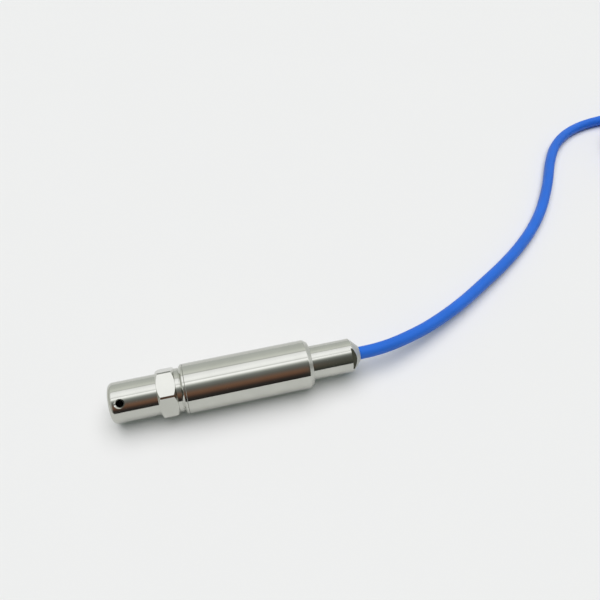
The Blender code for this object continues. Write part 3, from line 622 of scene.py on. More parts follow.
BRIGHT_SIDE = [
    (60.0, (0.24, 0.248, 0.24)),
    (66.0, (0.43, 0.44, 0.43)),
    (69.5, (0.66, 0.68, 0.67)),
    (73.0, (1.05, 1.06, 1.06)),
    (76.0, (1.42, 1.42, 1.46)),
    (81.0, (1.55, 1.55, 1.60)),
    (83.5, (0.98, 0.98, 1.00)),
    (86.5, (0.98, 0.98, 1.00)),
    (89.0, (1.36, 1.36, 1.40)),
    (98.0, (1.42, 1.42, 1.47)),
    (112.0, (1.26, 1.26, 1.31)),
    (117.5, (1.20, 1.20, 1.24)),
    (120.0, (0.66, 0.67, 0.66)),
    (122.0, (0.68, 0.69, 0.68)),
    (125.5, (0.88, 0.89, 0.86)),
    (132.0, (0.84, 0.86, 0.82)),
    (145.0, (0.70, 0.72, 0.69)),
    (170.0, (0.62, 0.64, 0.63)),
    (180.0, (0.72, 0.75, 0.73)),
]


def world_light():
    """Even light for everything, a room for the metal to mirror, and a pale backdrop behind."""
    world = bpy.data.worlds.new("studio")
    bpy.context.scene.world = world
    world.use_nodes = True
    tree = world.node_tree
    tree.nodes.clear()

    def maths(operation, *values):
        return add_node(tree, "ShaderNodeMath", enumerate(values), operation=operation)

    def blend(low, high, first, second):
        """Goes from the first colour to the second while x goes from low to high."""
        factor = add_node(tree, "ShaderNodeMapRange", {"Value": x, "From Min": low, "From Max": high})
        inputs = {0: factor, 6: first, 7: second}
        return add_node(tree, "ShaderNodeMix", inputs, 2, data_type="RGBA", clamp_result=False)

    def background(colour, strength=1.0):
        return add_node(tree, "ShaderNodeBackground", {"Color": colour, "Strength": strength})

    def choose(factor, first, second):
        return add_node(tree, "ShaderNodeMixShader", {0: factor, 1: first, 2: second})

    direction = add_node(tree, "ShaderNodeTexCoord", output="Generated")
    x, y, z = add_node(tree, "ShaderNodeSeparateXYZ", {0: direction}).node.outputs
    angle = maths("ARCTAN2", maths("ABSOLUTE", z), maths("MULTIPLY", y, -1.0))
    share = maths("DIVIDE", angle, math.pi)
    warm, grey = (
        colour_ramp(tree, share, [(degrees / 180, colour) for degrees, colour in side + BRIGHT_SIDE])
        for side in (DARK_SIDE_WARM, DARK_SIDE_GREY)
    )
    mirror = blend(LEFT_WALL_START, LEFT_WALL_FULL, blend(WARM_END, GREY_START, warm, grey), LEFT_WALL)
    even = background((*AMBIENT_TINT, 1.0), AMBIENT_SHARE * LIGHT_LEVEL)
    backdrop = background((*colours().floor, 1.0))
    rays = add_node(tree, "ShaderNodeLightPath").node.outputs
    lit = choose(rays["Is Glossy Ray"], even, background(mirror, ROOM_LEVEL))
    seen = choose(rays["Is Camera Ray"], lit, backdrop)
    tree.links.new(seen, tree.nodes.new("ShaderNodeOutputWorld").inputs["Surface"])


def softbox():
    """A large soft lamp, as seen from the object, that metal doesn't mirror."""
    place = Vector(KEY_PLACE)
    deselect_all()
    bpy.ops.object.light_add(type="SUN", location=place)
    light = bpy.context.object
    light.name = "key_softbox"
    light.data.energy = (1 - AMBIENT_SHARE) * LIGHT_LEVEL * math.pi / place.normalized().z / KEY_TINT[1]
    light.data.angle = KEY_ANGLE * DEGREE
    light.data.color = KEY_TINT
    light.rotation_euler = (-place).to_track_quat("-Z", "Y").to_euler()
    light.visible_glossy = False


class TRANSMITTER_OT_stage(bpy.types.Operator):
    """Add the camera, the floor, the lamps and the room that the metal mirrors"""

    bl_idname = "transmitter.stage"
    bl_label = "Stage"

    def execute(self, context):
        deselect_all()
        bpy.ops.object.camera_add(
            location=CAMERA_PLACE,
            rotation=((90 - CAMERA_ELEVATION) * DEGREE, 0.0, -CAMERA_TURN * DEGREE),
        )
        camera = context.object
        camera.data.lens = CAMERA_LENS
        camera.data.sensor_width = 36.0
        camera.data.clip_start = 0.01
        context.scene.camera = camera
        context.scene.view_settings.view_transform = "Standard"

        deselect_all()
        middle = (0.0, FLOOR_SIZE / 2 + FLOOR_FRONT, 0.0)
        bpy.ops.mesh.primitive_plane_add(size=FLOOR_SIZE, location=middle)
        floor = context.object
        floor.name = "floor"
        finish = Shader("floor_paper", 0.9)
        finish.inputs["Specular IOR Level"].default_value = 0.0
        colour = tuple(colours().floor)
        finish.vary_colour(finish.noise(14.0), shaded(colour, 0.998), shaded(colour, 1.002))
        floor.data.materials.append(finish.material)

        world_light()
        softbox()
        return {"FINISHED"}


# Cable


def eased(value):
    value = min(1.0, max(0.0, value))
    return value * value * (3 - 2 * value)


def polar(angle, radius, level):
    """Point at an angle and a radius round the coil's middle."""
    turn = angle * DEGREE
    return Vector(
        (COIL_CENTRE.x + radius * math.cos(turn), COIL_CENTRE.y + radius * math.sin(turn), level)
    )


def coil_radius():
    """Middle line of the coil's middle turns."""
    return (COIL_HIGH.x - COIL_LOW.x) / 2 - COIL_TURNS_WIDE / 2 * cable().cable


def coil_point(winding):
    """Point of the wound cable at a winding angle in degrees, counted clockwise from its entry."""

    def changed(first):
        return eased((winding - first) / COIL_SHIFT_SPAN)

    diameter = cable().cable
    radius = coil_radius() + diameter
    radius += diameter * (sum(map(changed, COIL_SHIFTS_OUT)) - sum(map(changed, COIL_SHIFTS_IN)))
    level = COIL_LOW.z + diameter / 2 + GAP * changed(COIL_RISES[-1])
    level += diameter * sum(map(changed, COIL_RISES))
    return polar(COIL_ENTRY_ANGLE - winding, radius, level)


# The bare cores at the far end: where each leaves the cable's face (outward, upward), and its
# bends: degrees past the cable's end and how far outward
LAST_WINDING_ANGLE = -255.0
FACE_DEGREES = (0.6, 3.0)
CORE_BENDS = {
    "lead_red": ((-1.7, 1.5), [(12, 4.4), (24, 6.4), (36, 7.4), (50, 7.0)]),
    "lead_black": ((0.4, -0.8), [(12, 7.2), (24, 9.6), (36, 10.4), (48, 11.6)]),
    "lead_shield": ((2.4, -1.1), [(12, 10.0), (22, 12.6), (32, 13.6), (42, 13.0)]),
    "vent_tube": ((1.7, 1.9), [(10, 7.0), (20, 11.0)]),
}

# How finely each core is drawn, its strands, their bundle and the vent tube's wall as shares of
# the whole diameter, and the length of one twist
LEAD_STEP = 0.4 * MM
SHIELD_STEP = 0.5 * MM
VENT_STEP = 1.0 * MM
STRAND = 0.22 * MM
STRANDS_ROUND = 6
STRAND_BUNDLE = 0.62
LEAD_TWIST = 5.0 * MM
SHIELD_TWIST = 7.0 * MM
VENT_WALL = 0.22

# The ties: where they stand, their bend, their lock's foot, and its mouth with the cut end in it
TIE_ANGLES = (0.0, -110.0, 150.0)
TIE_BEND = 2.6 * MM
LOCK_FOOT = 8.0 * MM
LOCK_RIM = 0.9 * MM
LOCK_MOUTH = 1.0 * MM
CUT_END_PLAY = 0.12 * MM
CUT_END_HEIGHT = 2.2 * MM


def core_route(node, thickness, spacing):
    """The way of a bare core from the cable's cut end over the coil's top."""
    (outward, upward), bends = CORE_BENDS[node]
    top = COIL_HIGH.z + GAP
    level = top + thickness / 2
    if node == "vent_tube":
        level += cable().lead + GAP
    places = [(degrees, outward, top + cable().cable / 2 + upward * MM) for degrees in FACE_DEGREES]
    places += [(degrees, shift, level) for degrees, shift in bends]
    radius = coil_radius() - cable().cable
    route = [
        polar(LAST_WINDING_ANGLE - degrees, radius + shift * MM, height)
        for degrees, shift, height in places
    ]
    return smooth_route(route, spacing)


def as_mesh(obj):
    """Turns a curve into a mesh with closed seams."""
    work_on(obj)
    bpy.ops.object.convert(target="MESH")
    bpy.ops.object.mode_set(mode="EDIT")
    bpy.ops.mesh.select_all(action="SELECT")
    bpy.ops.mesh.remove_doubles(threshold=1e-7)
    bpy.ops.object.mode_set(mode="OBJECT")
    return obj


def joined(name, pieces):
    """Joins pieces, which keep their own materials, into one."""
    work_on(pieces[0])
    for piece in pieces[1:]:
        piece.select_set(True)
    bpy.ops.object.join()
    obj = bpy.context.object
    obj.name = obj.data.name = name
    return obj


def twisted_strands(name, points, bundle, strand, pitch):
    """A middle strand with others wound round it."""
    tubes = [tube(name, points, strand, 2)]
    reach = (bundle - strand) / 2
    for i in range(STRANDS_ROUND):
        lane = []
        run = 0.0
        for index, point in enumerate(points):
            before = points[max(0, index - 1)]
            after = points[min(len(points) - 1, index + 1)]
            along = (after - before).normalized()
            run += (point - before).length
            side = along.cross(UP).normalized()
            turn = 2 * math.pi * (i / STRANDS_ROUND + run / pitch)
            lane.append(point + (side * math.cos(turn) + side.cross(along) * math.sin(turn)) * reach)
        tubes.append(tube(f"{name}_{i + 1}", lane, strand, 2))
    return joined(name, [as_mesh(piece) for piece in tubes])


class TRANSMITTER_OT_cores(bpy.types.Operator):
    """Strip the cable's far end: two leads, the twisted shield and the open vent tube"""

    bl_idname = "transmitter.cores"
    bl_label = "Cable cores"

    def execute(self, context):
        copper = metal_finish("tinned_copper_finish", (0.78, 0.62, 0.5), 0.32)
        self.insulated_lead("lead_red", "red_insulation", (0.6, 0.02, 0.02), copper)
        self.insulated_lead("lead_black", "black_insulation", (0.02, 0.02, 0.02), copper)
        lead = cable().lead
        route = core_route("lead_shield", lead, SHIELD_STEP)
        shield = settle(twisted_strands("lead_shield_end", route, lead, lead / 3, SHIELD_TWIST))
        dress(shield, copper, "bare_copper", "lead_shield")
        vent = cable().vent
        hose = tube("vent_tube_end", core_route("vent_tube", vent, VENT_STEP), vent, 8)
        hose.data.use_fill_caps = False
        modify(as_mesh(hose), "SOLIDIFY", thickness=vent * VENT_WALL, offset=-1.0)
        settle(hose)
        dress(hose, plastic_finish("vent_nylon_finish", (0.8, 0.8, 0.76), 0.35), "vent_nylon", "vent_tube")
        return {"FINISHED"}

    def insulated_lead(self, node, slot, colour, copper):
        """A lead in its sleeve, stripped at its end down to the twisted strands."""
        lead = cable().lead
        route = core_route(node, lead, LEAD_STEP)
        bare = round(cable().stripped / LEAD_STEP)
        sleeve = as_mesh(tube(f"{node}_sleeve", route[:-bare], lead, 6))
        sleeve.data.materials.append(plastic_finish(f"{slot}_finish", colour, 0.4))
        strands = twisted_strands(
            f"{node}_strands", route[-bare - 3:], lead * STRAND_BUNDLE, STRAND, LEAD_TWIST
        )
        strands.data.materials.append(copper)
        dress(settle(joined(f"{node}_end", [sleeve, strands])), None, slot, node)


class TRANSMITTER_OT_ties(bpy.types.Operator):
    """Strap the coil with three cable ties, each with its lock"""

    bl_idname = "transmitter.ties"
    bl_label = "Cable ties"

    def execute(self, context):
        nylon = plastic_finish("tie_nylon_finish", tuple(colours().nylon), 0.42)
        for number, angle in enumerate(TIE_ANGLES, 1):
            tie = settle(self.strap(f"cable_tie_{number}", angle))
            dress(tie, nylon, "tie_nylon", f"coil_tie_{number}")
        return {"FINISHED"}

    def strap(self, name, angle):
        """One tie: a band round the coil's section, with its lock on the outer side."""
        sizes = cable()
        side = COIL_TURNS_WIDE / 2 * sizes.cable + GAP
        foot = COIL_LOW.z - GAP
        top = COIL_HIGH.z + 2 * GAP + sizes.cable

        # From the last turn, on the coil's inner side, the strap slopes down to the outer turns
        last_turn = -0.65 * sizes.cable
        section = [
            (-side, foot),
            (side, foot),
            (side, COIL_HIGH.z + GAP),
            (last_turn, top),
            (-side, top),
        ]
        outward = polar(angle, 1.0, 0.0) - polar(angle, 0.0, 0.0)
        width = UP.cross(outward) * sizes.tie_width
        places = [
            polar(angle, coil_radius() + sideways, level) - width / 2 for sideways, level in section
        ]
        band = draw_chain(f"{name}_band", places, True)
        for place in places:
            round_corner(place, TIE_BEND, 6)
        bpy.ops.mesh.select_all(action="SELECT")
        extrude(width)
        bpy.ops.mesh.select_all(action="SELECT")
        bpy.ops.mesh.normals_make_consistent(inside=False)
        modify(band, "SOLIDIFY", thickness=sizes.tie_thickness, offset=1.0, use_even_offset=True)
        round_edges(band, 0.25 * MM, 2)
        lock = self.lock(f"{name}_lock", angle, coil_radius() + side + sizes.tie_thickness)
        return joined(name, [band, lock])

    def lock(self, name, angle, radius):
        """The tie's lock, with the slot that the strap's end leaves by and the cut end in it."""
        sizes = cable()
        deselect_all()
        bpy.ops.mesh.primitive_cube_add(
            size=1.0,
            location=polar(angle, radius + sizes.lock_depth / 2, LOCK_FOOT + sizes.lock_height / 2),
            rotation=(0.0, 0.0, angle * DEGREE),
            scale=(sizes.lock_depth, sizes.tie_width, sizes.lock_height),
        )
        lock = bpy.context.object
        lock.name = name
        bpy.ops.object.transform_apply()
        bpy.ops.object.mode_set(mode="EDIT")
        pick("FACE", lambda face: face.normal.z > 0.9)
        bpy.ops.mesh.inset(thickness=LOCK_RIM)
        extrude(-UP * LOCK_MOUTH)
        bpy.ops.mesh.inset(thickness=CUT_END_PLAY)
        extrude(UP * CUT_END_HEIGHT)
        bpy.ops.mesh.select_mode(type="VERT")
        return round_edges(lock, 0.3 * MM, 3)


class TRANSMITTER_OT_cable(bpy.types.Operator):
    """Lay the cable from the gland to the coil and wind it up"""

    bl_idname = "transmitter.cable"
    bl_label = "Cable"

    def execute(self, context):
        route = [Vector(point) * MM for point in CABLE_ROUTE]
        route += [coil_point(0.0), coil_point(COIL_ENTRY_RUN)]
        points = smooth_route(route, ROUTE_STEP)
        wound = COIL_LAST_WINDING - COIL_ENTRY_RUN
        steps = round(wound / COIL_STEP)
        points += [coil_point(COIL_ENTRY_RUN + wound * i / steps) for i in range(1, steps + 1)]
        jacket = tube("cable_jacket", points, cable().cable, 7)
        dress(jacket, jacket_finish(), "cable_jacket", "cable_run", "cable_coil", "cable_tail")
        return {"FINISHED"}


# Steel pieces

# Inner sizes that the frame's boxes don't give: the port, the chambers and the O-ring grooves
PORT_THREAD = 9.1 * MM
PORT_THREAD_LENGTH = 8.0 * MM
PORT_BORE = 6.5 * MM
NOSE_CHAMBER = 8.5 * MM
SEAL_CHAMBER = 6.8 * MM
CHAMBER_SETBACK = 7.0 * MM
MOUTH_RIM = 0.5 * MM
WELD_WIDTH = 1.2 * MM
GROOVE_SETBACK = 3.25 * MM
GROOVE_WIDTH = 2.1 * MM
GROOVE_DEPTH = 1.4 * MM

# One ring of a thread, in shares of its pitch: how far along and how far out
THREAD_RING = ((0.15, 0.0), (0.5, 0.35), (0.85, 0.0))

# Small edges: fillets, the chamfer that leads a spigot in, how far a thread stays off its ends,
# bevels, and what is left open where the nose cap and the body tube meet the housing
CRISP = 0.06 * MM
BROKEN = 0.1 * MM
SOFT = 0.2 * MM
LEAD_IN = 0.4 * MM
THREAD_END = 0.6 * MM
HEXAGON_EDGE = 0.07 * MM
FLAT_EDGE = 0.08 * MM
NOSE_SEAM = 0.04 * MM
BODY_SEAM = 0.05 * MM
BODY_SEAM_CHAMFER = 0.08 * MM

# How far an inlet's cutter reaches in, and the play for picking faces by their place
INLET_REACH = 5.0 * MM
PLAY = 0.1 * MM


def spigot_radius():
    return BODY_RADIUS - probe().body_wall - GAP


def thread_rings(first, last, radius):
    """Outline points of a thread, drawn as rings that stand outward."""
    pitch = probe().thread_pitch
    places = []
    while first + pitch <= last:
        places += [(first + along * pitch, radius + out * pitch) for along, out in THREAD_RING]
        first += pitch
    return places


def seal_groove(middle):
    """Outline points of an O-ring's groove in a spigot."""
    spigot = spigot_radius()
    front, rear = middle - GROOVE_WIDTH / 2, middle + GROOVE_WIDTH / 2
    return [
        (front, spigot, BROKEN),
        (front, spigot - GROOVE_DEPTH, BROKEN),
        (rear, spigot - GROOVE_DEPTH, BROKEN),
        (rear, spigot, BROKEN),
    ]


class TRANSMITTER_OT_nose_cap(bpy.types.Operator):
    """Turn the nose cap and drill its countersunk inlets"""

    bl_idname = "transmitter.nose_cap"
    bl_label = "Nose cap"

    def execute(self, context):
        sizes = probe()
        outside = (NOSE_HIGH.z - NOSE_LOW.z) / 2
        front, rear = NOSE_LOW.x, NOSE_HIGH.x + GAP - NOSE_SEAM
        inside_front = front + sizes.nose_wall
        thread = PORT_THREAD + GAP
        thread_front = NOSE_HIGH.x - PORT_THREAD_LENGTH
        outline = [
            (front, 0.0),
            (front, outside, sizes.nose_edge),
            (rear, outside, CRISP),
            (rear, thread + LEAD_IN, BROKEN),
            (rear - LEAD_IN, thread, BROKEN),
        ]
        outline += reversed(thread_rings(thread_front + THREAD_END, rear - THREAD_END, thread))
        outline += [
            (thread_front + GAP, thread),
            (thread_front, NOSE_CHAMBER + GAP),
            (thread_front, NOSE_CHAMBER),
            (inside_front, NOSE_CHAMBER, 1.0 * MM),
            (inside_front, 0.0),
        ]
        cap = turn_piece("nose_cap_turned", outline, closed=False)
        for i in range(sizes.inlet_count):
            angle = sizes.inlet_angle + 2 * math.pi * i / sizes.inlet_count
            cut(cap, self.inlet_cutter(front + sizes.inlet_setback, outside, angle))
        even_normals(settle(cap))
        dress(cap, steel_finish("nose_steel_finish", 0.09), "nose_steel", "nose_cap", body="cap")
        sink = (sizes.inlet_mouth - sizes.inlet) / 2

        def bored(face):
            in_chamber = inside_front - PLAY < face.center.x < rear - PLAY
            return in_chamber and from_axis(face.center) < outside - sink - PLAY

        # Paints shade inside the nose: its chamber and the inlets' bores get the darkened steel
        finish_faces(cap, bore_painted_shade_finish("nose_bore_painted_shade_finish"), bored)
        return {"FINISHED"}

    def inlet_cutter(self, station, outside, angle):
        """Cutter for a countersunk inlet, square to the probe's axis."""
        sizes = probe()
        sink = (sizes.inlet_mouth - sizes.inlet) / 2
        deselect_all()
        bpy.ops.mesh.primitive_cone_add(
            vertices=64,
            radius1=sizes.inlet / 2,
            radius2=sizes.inlet_mouth / 2 + sink,
            depth=2 * sink,
            location=on_probe(station, outside, angle),
            rotation=across(angle).to_track_quat("Z", "X").to_euler(),
        )
        bpy.ops.object.mode_set(mode="EDIT")
        pick("FACE", lambda face: face.normal.z < -0.9)
        extrude(across(angle) * (sink - INLET_REACH))
        bpy.ops.mesh.select_mode(type="VERT")
        bpy.ops.object.mode_set(mode="OBJECT")
        bpy.ops.object.transform_apply()
        return bpy.context.object


class TRANSMITTER_OT_housing(bpy.types.Operator):
    """Turn the sensor housing, with its hexagon, neck, pressure port and spigot"""

    bl_idname = "transmitter.housing"
    bl_label = "Sensor housing"

    def execute(self, context):
        sizes = probe()
        port_front, spigot_rear = HOUSING_LOW.x, HOUSING_HIGH.x
        hex_front = NOSE_HIGH.x + GAP
        hex_rear = hex_front + sizes.hexagon_length
        seam = hex_rear + sizes.neck_length - BODY_SEAM
        neck = sizes.neck / 2
        groove = neck - sizes.neck_groove_depth
        shoulder = BODY_RADIUS - sizes.shoulder_step
        shoulder_front = hex_rear + sizes.neck_length - GAP - sizes.shoulder_length
        cell_seat = CELL_LOW.x - GAP
        cell_bore = (CELL_HIGH.z - CELL_LOW.z) / 2 + GAP
        spigot = spigot_radius()
        flat = sizes.hexagon_flats / 2
        corner = flat / math.cos(30 * DEGREE) - sizes.hexagon_trim

        # The collar's rims are drawn round, between its faces, until shape_hexagon places them
        rim_front, rim_rear = hex_front + 1.3 * MM, hex_rear - 0.8 * MM
        outline = [
            (port_front, PORT_BORE, SOFT),
            (port_front, PORT_THREAD - 0.5 * MM, BROKEN),
            (port_front + 0.5 * MM, PORT_THREAD, BROKEN),
        ]
        outline += thread_rings(port_front + 0.8 * MM, hex_front - 1.0 * MM, PORT_THREAD - GAP)
        outline += [
            (hex_front - 0.8 * MM, PORT_THREAD - 2 * GAP),
            (hex_front, PORT_THREAD - 2 * GAP),
            (hex_front, flat - sizes.hexagon_rim),
            (rim_front, corner),
            (rim_rear, corner),
            (hex_rear, (neck + flat) / 2),
            (hex_rear, neck, 0.15 * MM),
            (shoulder_front - sizes.neck_groove, neck, CRISP),
            (shoulder_front - sizes.neck_groove, groove, CRISP),
            (shoulder_front, groove, CRISP),
            (shoulder_front, shoulder - sizes.shoulder_chamfer, CRISP),
            (shoulder_front + sizes.shoulder_chamfer, shoulder, CRISP),
            (seam - BODY_SEAM_CHAMFER, shoulder, 0.04 * MM),
            (seam, shoulder - BODY_SEAM_CHAMFER, 0.02 * MM),
            (seam, spigot, 0.02 * MM),
            *seal_groove(spigot_rear - GROOVE_SETBACK),
            (spigot_rear - LEAD_IN, spigot, BROKEN),
            (spigot_rear, spigot - LEAD_IN, BROKEN),
            (spigot_rear, cell_bore, SOFT),
            (cell_seat, cell_bore, SOFT),
            (cell_seat, PORT_BORE, SOFT),
        ]
        housing = turn_piece("sensor_housing_turned", outline, start=sizes.hexagon_corner)
        self.shape_hexagon(housing, hex_front, hex_rear, flat, corner)
        settle(housing)

        def hexagon_edge(edge):
            return sharp(edge, 20 * DEGREE) and all(
                hex_front - 0.01 * MM < vert.co.x < hex_rear + 0.01 * MM
                and from_axis(vert.co) > neck - 1.0 * MM
                for vert in edge.verts
            )

        def turned_corner(face):
            off_axis = from_axis(face.center) > corner - 0.06 * MM
            return off_axis and hex_front < face.center.x < hex_rear and abs(face.normal.x) < 0.2

        bevel_edges(housing, hexagon_edge, HEXAGON_EDGE)
        even_normals(settle(housing))
        dress(housing, steel_finish("housing_steel_finish", 0.1), "housing_steel", "sensor_housing")
        # Painted shade: the hexagon's turned corners are rougher, and their steel is darkened to 0.62 so
        # each corner shows as a dark line
        finish_faces(housing, steel_finish("turned_corner_painted_shade_finish", 0.16, shade=0.62), turned_corner)
        return {"FINISHED"}

    def shape_hexagon(self, housing, front, rear, flat, corner):
        """Draws the turned collar's two rims in to a hexagon with turned corners and arc chamfers."""
        sizes = probe()
        slope = math.tan(sizes.hexagon_chamfer)
        rear_face = (sizes.neck / 2 + flat) / 2
        corner_edge = math.acos(flat / corner)
        half_step = math.pi / TURN_STEPS
        work_on(housing)
        bpy.ops.object.mode_set(mode="EDIT")
        shape = bmesh.from_edit_mesh(housing.data)
        for vert in shape.verts:
            y, z = vert.co.y, vert.co.z - AXIS_HEIGHT
            if front + PLAY < vert.co.x < rear - PLAY and math.hypot(y, z) > flat:
                angle = math.atan2(z, -y)
                off_flat = (angle - sizes.hexagon_corner) % (60 * DEGREE) - 30 * DEGREE
                if abs(abs(off_flat) - corner_edge) < half_step:
                    angle += math.copysign(corner_edge, off_flat) - off_flat
                    off_flat = math.copysign(corner_edge, off_flat)
                radius = min(corner, flat / math.cos(off_flat))
                if vert.co.x < (front + rear) / 2:
                    station = front + (radius - flat + sizes.hexagon_rim) * slope
                else:
                    station = rear - (radius - rear_face) * slope
                vert.co = on_probe(station, radius, angle)
        bmesh.update_edit_mesh(housing.data)
        bpy.ops.object.mode_set(mode="OBJECT")


class TRANSMITTER_OT_body(bpy.types.Operator):
    """Turn the plain body tube"""

    bl_idname = "transmitter.body"
    bl_label = "Body tube"

    def execute(self, context):
        sizes = probe()
        bore = BODY_RADIUS - sizes.body_wall
        front, rear = BODY_LOW.x, BODY_HIGH.x
        chamfer_front = rear - sizes.rear_chamfer_length
        outline = [
            (front, bore, SOFT),
            (front, BODY_RADIUS - sizes.front_chamfer, 0.08 * MM),
            (front + sizes.front_chamfer, BODY_RADIUS, 0.08 * MM),
            (chamfer_front, BODY_RADIUS, 0.12 * MM),
            (rear, BODY_RADIUS - sizes.rear_chamfer, 0.12 * MM),
            (rear, bore, BROKEN),
        ]
        body = even_normals(turn_piece("body_tube_turned", outline))

        def chamfer(face):
            outside = from_axis(face.center) > bore + 0.05 * MM
            return outside and face.center.x > chamfer_front + 0.08 * MM

        dress(body, steel_finish("tube_steel_finish", 0.05), "tube_steel", "body_tube")
        finish_faces(body, steel_finish("tube_chamfer_finish", 0.34), chamfer)
        return {"FINISHED"}


class TRANSMITTER_OT_gland(bpy.types.Operator):
    """Turn the gland's stub and cone and cut its two spanner flats"""

    bl_idname = "transmitter.gland"
    bl_label = "Gland body"

    def execute(self, context):
        sizes = probe()
        front, rear = GLAND_LOW.x, GLAND_HIGH.x
        shoulder = BODY_HIGH.x
        cone_front = rear - sizes.cone_length
        cable_bore = cable().cable / 2 + GAP
        spigot = spigot_radius()
        stub = sizes.stub / 2
        outline = [
            (front, SEAL_CHAMBER, SOFT),
            (front, spigot - LEAD_IN, BROKEN),
            (front + LEAD_IN, spigot, BROKEN),
            *seal_groove(front + GROOVE_SETBACK),
            (shoulder, spigot, BROKEN),
            (shoulder, stub, 0.25 * MM),
            (cone_front, stub, 0.15 * MM),
            (rear, cable_bore + MOUTH_RIM, BROKEN),
            (rear, cable_bore, BROKEN),
            (cone_front - CHAMBER_SETBACK, cable_bore, BROKEN),
            (cone_front - CHAMBER_SETBACK, SEAL_CHAMBER, BROKEN),
        ]
        gland = turn_piece("gland_body_turned", outline)
        flat_front = cone_front - sizes.spanner_run
        for i in range(2):
            cut(gland, self.flat_cutter(flat_front, rear, sizes.spanner_angle + math.pi * i))
        settle(gland)

        def on_flat(vert):
            height = abs((vert.co - AXIS).dot(across(sizes.spanner_angle)))
            return abs(height - sizes.spanner_flats / 2) < 0.005 * MM

        def flat_edge(edge):
            behind = all(vert.co.x > flat_front - PLAY for vert in edge.verts)
            return behind and sharp(edge) and any(on_flat(vert) for vert in edge.verts)

        def cone(face):
            outside = from_axis(face.center) > cable_bore + PLAY
            return outside and face.center.x > cone_front + PLAY and 0.3 < face.normal.x < 0.97

        bevel_edges(gland, flat_edge, FLAT_EDGE)
        even_normals(settle(gland))
        dress(gland, steel_finish("gland_steel_finish", 0.1), "gland_steel", "gland_body")
        # Painted light: the cone is duller, and its steel is lightened to 1.12 so it shows pale
        finish_faces(gland, steel_finish("cone_painted_light_finish", 0.5, shade=1.12), cone)
        return {"FINISHED"}

    def flat_cutter(self, front, rear, angle):
        """Block that cuts one spanner flat, deep and long enough to pass the cone on all sides."""
        depth, width = 6.0 * MM, 30.0 * MM
        length = rear + 2.0 * MM - front
        turned = Matrix((ALONG, across(angle).cross(ALONG), across(angle))).transposed()
        deselect_all()
        bpy.ops.mesh.primitive_cube_add(
            size=1.0,
            location=on_probe(front + length / 2, probe().spanner_flats / 2 + depth / 2, angle),
            rotation=turned.to_euler(),
            scale=(length, width, depth),
        )
        return bpy.context.object


# The diaphragm: its waves, and where they start and end as shares of its radius
WAVES = 3
WAVE_STEPS = 48
WAVES_START = 0.25
WAVES_END = 0.86


class TRANSMITTER_OT_diaphragm(bpy.types.Operator):
    """Press the thin wavy diaphragm and turn the ring that welds it to the cell"""

    bl_idname = "transmitter.diaphragm"
    bl_label = "Diaphragm"

    def execute(self, context):
        low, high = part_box("diaphragm")
        depth = probe().wave_depth
        disc = (high.z - low.z) / 2
        flat, rim = WAVES_START * disc, WAVES_END * disc
        front, rear = low.x + depth, high.x - depth
        waves = []
        for i in range(1, WAVE_STEPS):
            share = i / WAVE_STEPS
            swing = depth * math.sin(2 * math.pi * WAVES * share) * min(1.0, 4 * share, 4 * (1 - share))
            waves.append((flat + (rim - flat) * share, swing))
        outline = [(front, 0.0), (front, flat)]
        outline += [(front + swing, radius) for radius, swing in waves]
        outline += [(front, rim), (front, disc), (rear, disc), (rear, rim)]
        outline += [(rear + swing, radius) for radius, swing in reversed(waves)]
        outline += [(rear, flat), (rear, 0.0)]
        foil = turn_piece("diaphragm_pressed", outline, closed=False, steps=96)
        bright = metal_finish("diaphragm_finish", (0.7, 0.69, 0.66), 0.16)
        dress(foil, bright, "diaphragm_foil", "diaphragm")

        low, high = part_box("diaphragm_weld_ring")
        outside = (high.z - low.z) / 2
        inside = outside - WELD_WIDTH
        section = ((low.x, inside), (low.x, outside), (high.x, outside), (high.x, inside))
        outline = [(station, radius, 0.08 * MM) for station, radius in section]
        ring = turn_piece("diaphragm_weld", outline, steps=96)
        dress(ring, weld_finish(), "cell_steel", "diaphragm_weld_ring")
        return {"FINISHED"}


def numbered(name, count):
    return [f"{name}_{i + 1}" for i in range(count)]


# Finishes of the inner pieces: colour, roughness, grain in millimetres and the nodes
INNER_METALS = {
    "inner_steel_finish": ((0.55, 0.54, 0.52), 0.3, ["cell_lock_ring", "cell_vent_pipe"]),
    "cell_steel_finish": ((0.66, 0.65, 0.63), 0.25, ["sensor_cell"]),
    "gold_plating_finish": ((0.83, 0.62, 0.25), 0.25, numbered("cell_pin", 5)),
    "gland_brass_finish": ((0.72, 0.55, 0.28), 0.3, ["gland_screw"]),
    "washer_steel_finish": ((0.6, 0.6, 0.6), 0.3, ["gland_washer_front", "gland_washer_rear"]),
    "inner_shield_finish": ((0.75, 0.6, 0.5), 0.35, ["inner_lead_shield"]),
}
SEALS = ["cell_o_ring", "housing_o_ring", "gland_o_ring", "gland_seal"]
CHIPS = ["transmitter_chip", "amplifier_chip", "surge_suppressor", "polarity_diode", "choke"]
INNER_PLASTICS = {
    "seal_rubber_finish": ((0.03, 0.03, 0.03), 0.6, 0.02, SEALS),
    "sleeve_finish": ((0.75, 0.74, 0.7), 0.5, 0.01, ["insulating_sleeve"]),
    "chip_resin_finish": ((0.03, 0.03, 0.035), 0.5, 0.015, CHIPS),
    "tantalum_resin_finish": ((0.7, 0.45, 0.08), 0.4, 0.01, ["input_capacitor", "output_capacitor"]),
    "trimmer_finish": ((0.05, 0.16, 0.5), 0.4, 0.01, ["trim_resistor"]),
    "wire_insulation_finish": ((0.8, 0.8, 0.78), 0.45, 0.01, numbered("cell_wire", 4)),
    "inner_red_finish": ((0.6, 0.02, 0.02), 0.4, 0.01, ["inner_lead_red"]),
    "inner_black_finish": ((0.02, 0.02, 0.02), 0.4, 0.01, ["inner_lead_black"]),
    "inner_vent_finish": ((0.8, 0.8, 0.76), 0.35, 0.01, ["inner_vent_tube"]),
}


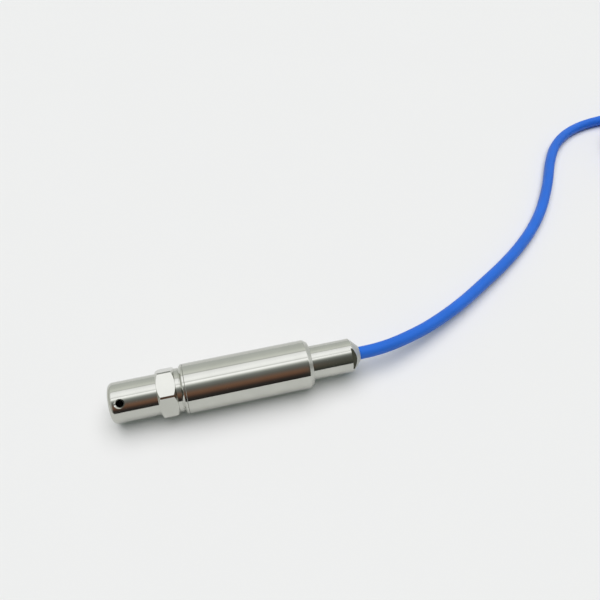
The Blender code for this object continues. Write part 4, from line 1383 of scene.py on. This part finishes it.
class TRANSMITTER_OT_inner_finishes(bpy.types.Operator):
    """Give the cell, the electronics and the gland's inner pieces their finishes"""

    bl_idname = "transmitter.inner_finishes"
    bl_label = "Inner finishes"

    def execute(self, context):
        for name, (colour, roughness, nodes) in INNER_METALS.items():
            self.give(metal_finish(name, colour, roughness), nodes)
        for name, (colour, roughness, grain, nodes) in INNER_PLASTICS.items():
            self.give(plastic_finish(name, colour, roughness, grain * MM), nodes)
        self.give(board_finish(), ["circuit_board"])
        return {"FINISHED"}

    def give(self, finish, nodes):
        for node in nodes:
            bpy.data.objects[node].material_slots[0].material = finish


OPERATORS = [
    TRANSMITTER_OT_stage,
    TRANSMITTER_OT_cores,
    TRANSMITTER_OT_ties,
    TRANSMITTER_OT_cable,
    TRANSMITTER_OT_nose_cap,
    TRANSMITTER_OT_housing,
    TRANSMITTER_OT_body,
    TRANSMITTER_OT_gland,
    TRANSMITTER_OT_diaphragm,
    TRANSMITTER_OT_inner_finishes,
]


class TRANSMITTER_PT_panel(bpy.types.Panel):
    """Lists the transmitter's sizes, colours and pieces"""

    bl_idname = "TRANSMITTER_PT_panel"
    bl_label = "Level transmitter"
    bl_space_type = "VIEW_3D"
    bl_region_type = "UI"
    bl_category = "Transmitter"

    def draw(self, context):
        scene = context.scene
        for group in (scene.transmitter_probe, scene.transmitter_cable, scene.transmitter_colours):
            box = self.layout.box()
            for name in group.__annotations__:
                box.prop(group, name)
        for operator in OPERATORS:
            self.layout.operator(operator.bl_idname)


GROUPS = {
    "transmitter_probe": ProbeSizes,
    "transmitter_cable": CableSizes,
    "transmitter_colours": FinishColours,
}


def register():
    for group in GROUPS.values():
        bpy.utils.register_class(group)
    for name, group in GROUPS.items():
        setattr(bpy.types.Scene, name, PointerProperty(type=group))
    for operator in OPERATORS:
        bpy.utils.register_class(operator)
    bpy.utils.register_class(TRANSMITTER_PT_panel)


def unregister():
    bpy.utils.unregister_class(TRANSMITTER_PT_panel)
    for operator in reversed(OPERATORS):
        bpy.utils.unregister_class(operator)
    for name, group in GROUPS.items():
        delattr(bpy.types.Scene, name)
        bpy.utils.unregister_class(group)


def main():
    register()
    bpy.ops.transmitter.stage()
    bpy.ops.transmitter.cores()
    bpy.ops.transmitter.ties()
    bpy.ops.transmitter.cable()
    bpy.ops.transmitter.nose_cap()
    bpy.ops.transmitter.housing()
    bpy.ops.transmitter.body()
    bpy.ops.transmitter.gland()
    bpy.ops.transmitter.diaphragm()
    bpy.ops.transmitter.inner_finishes()


if __name__ == "__main__":
    main()
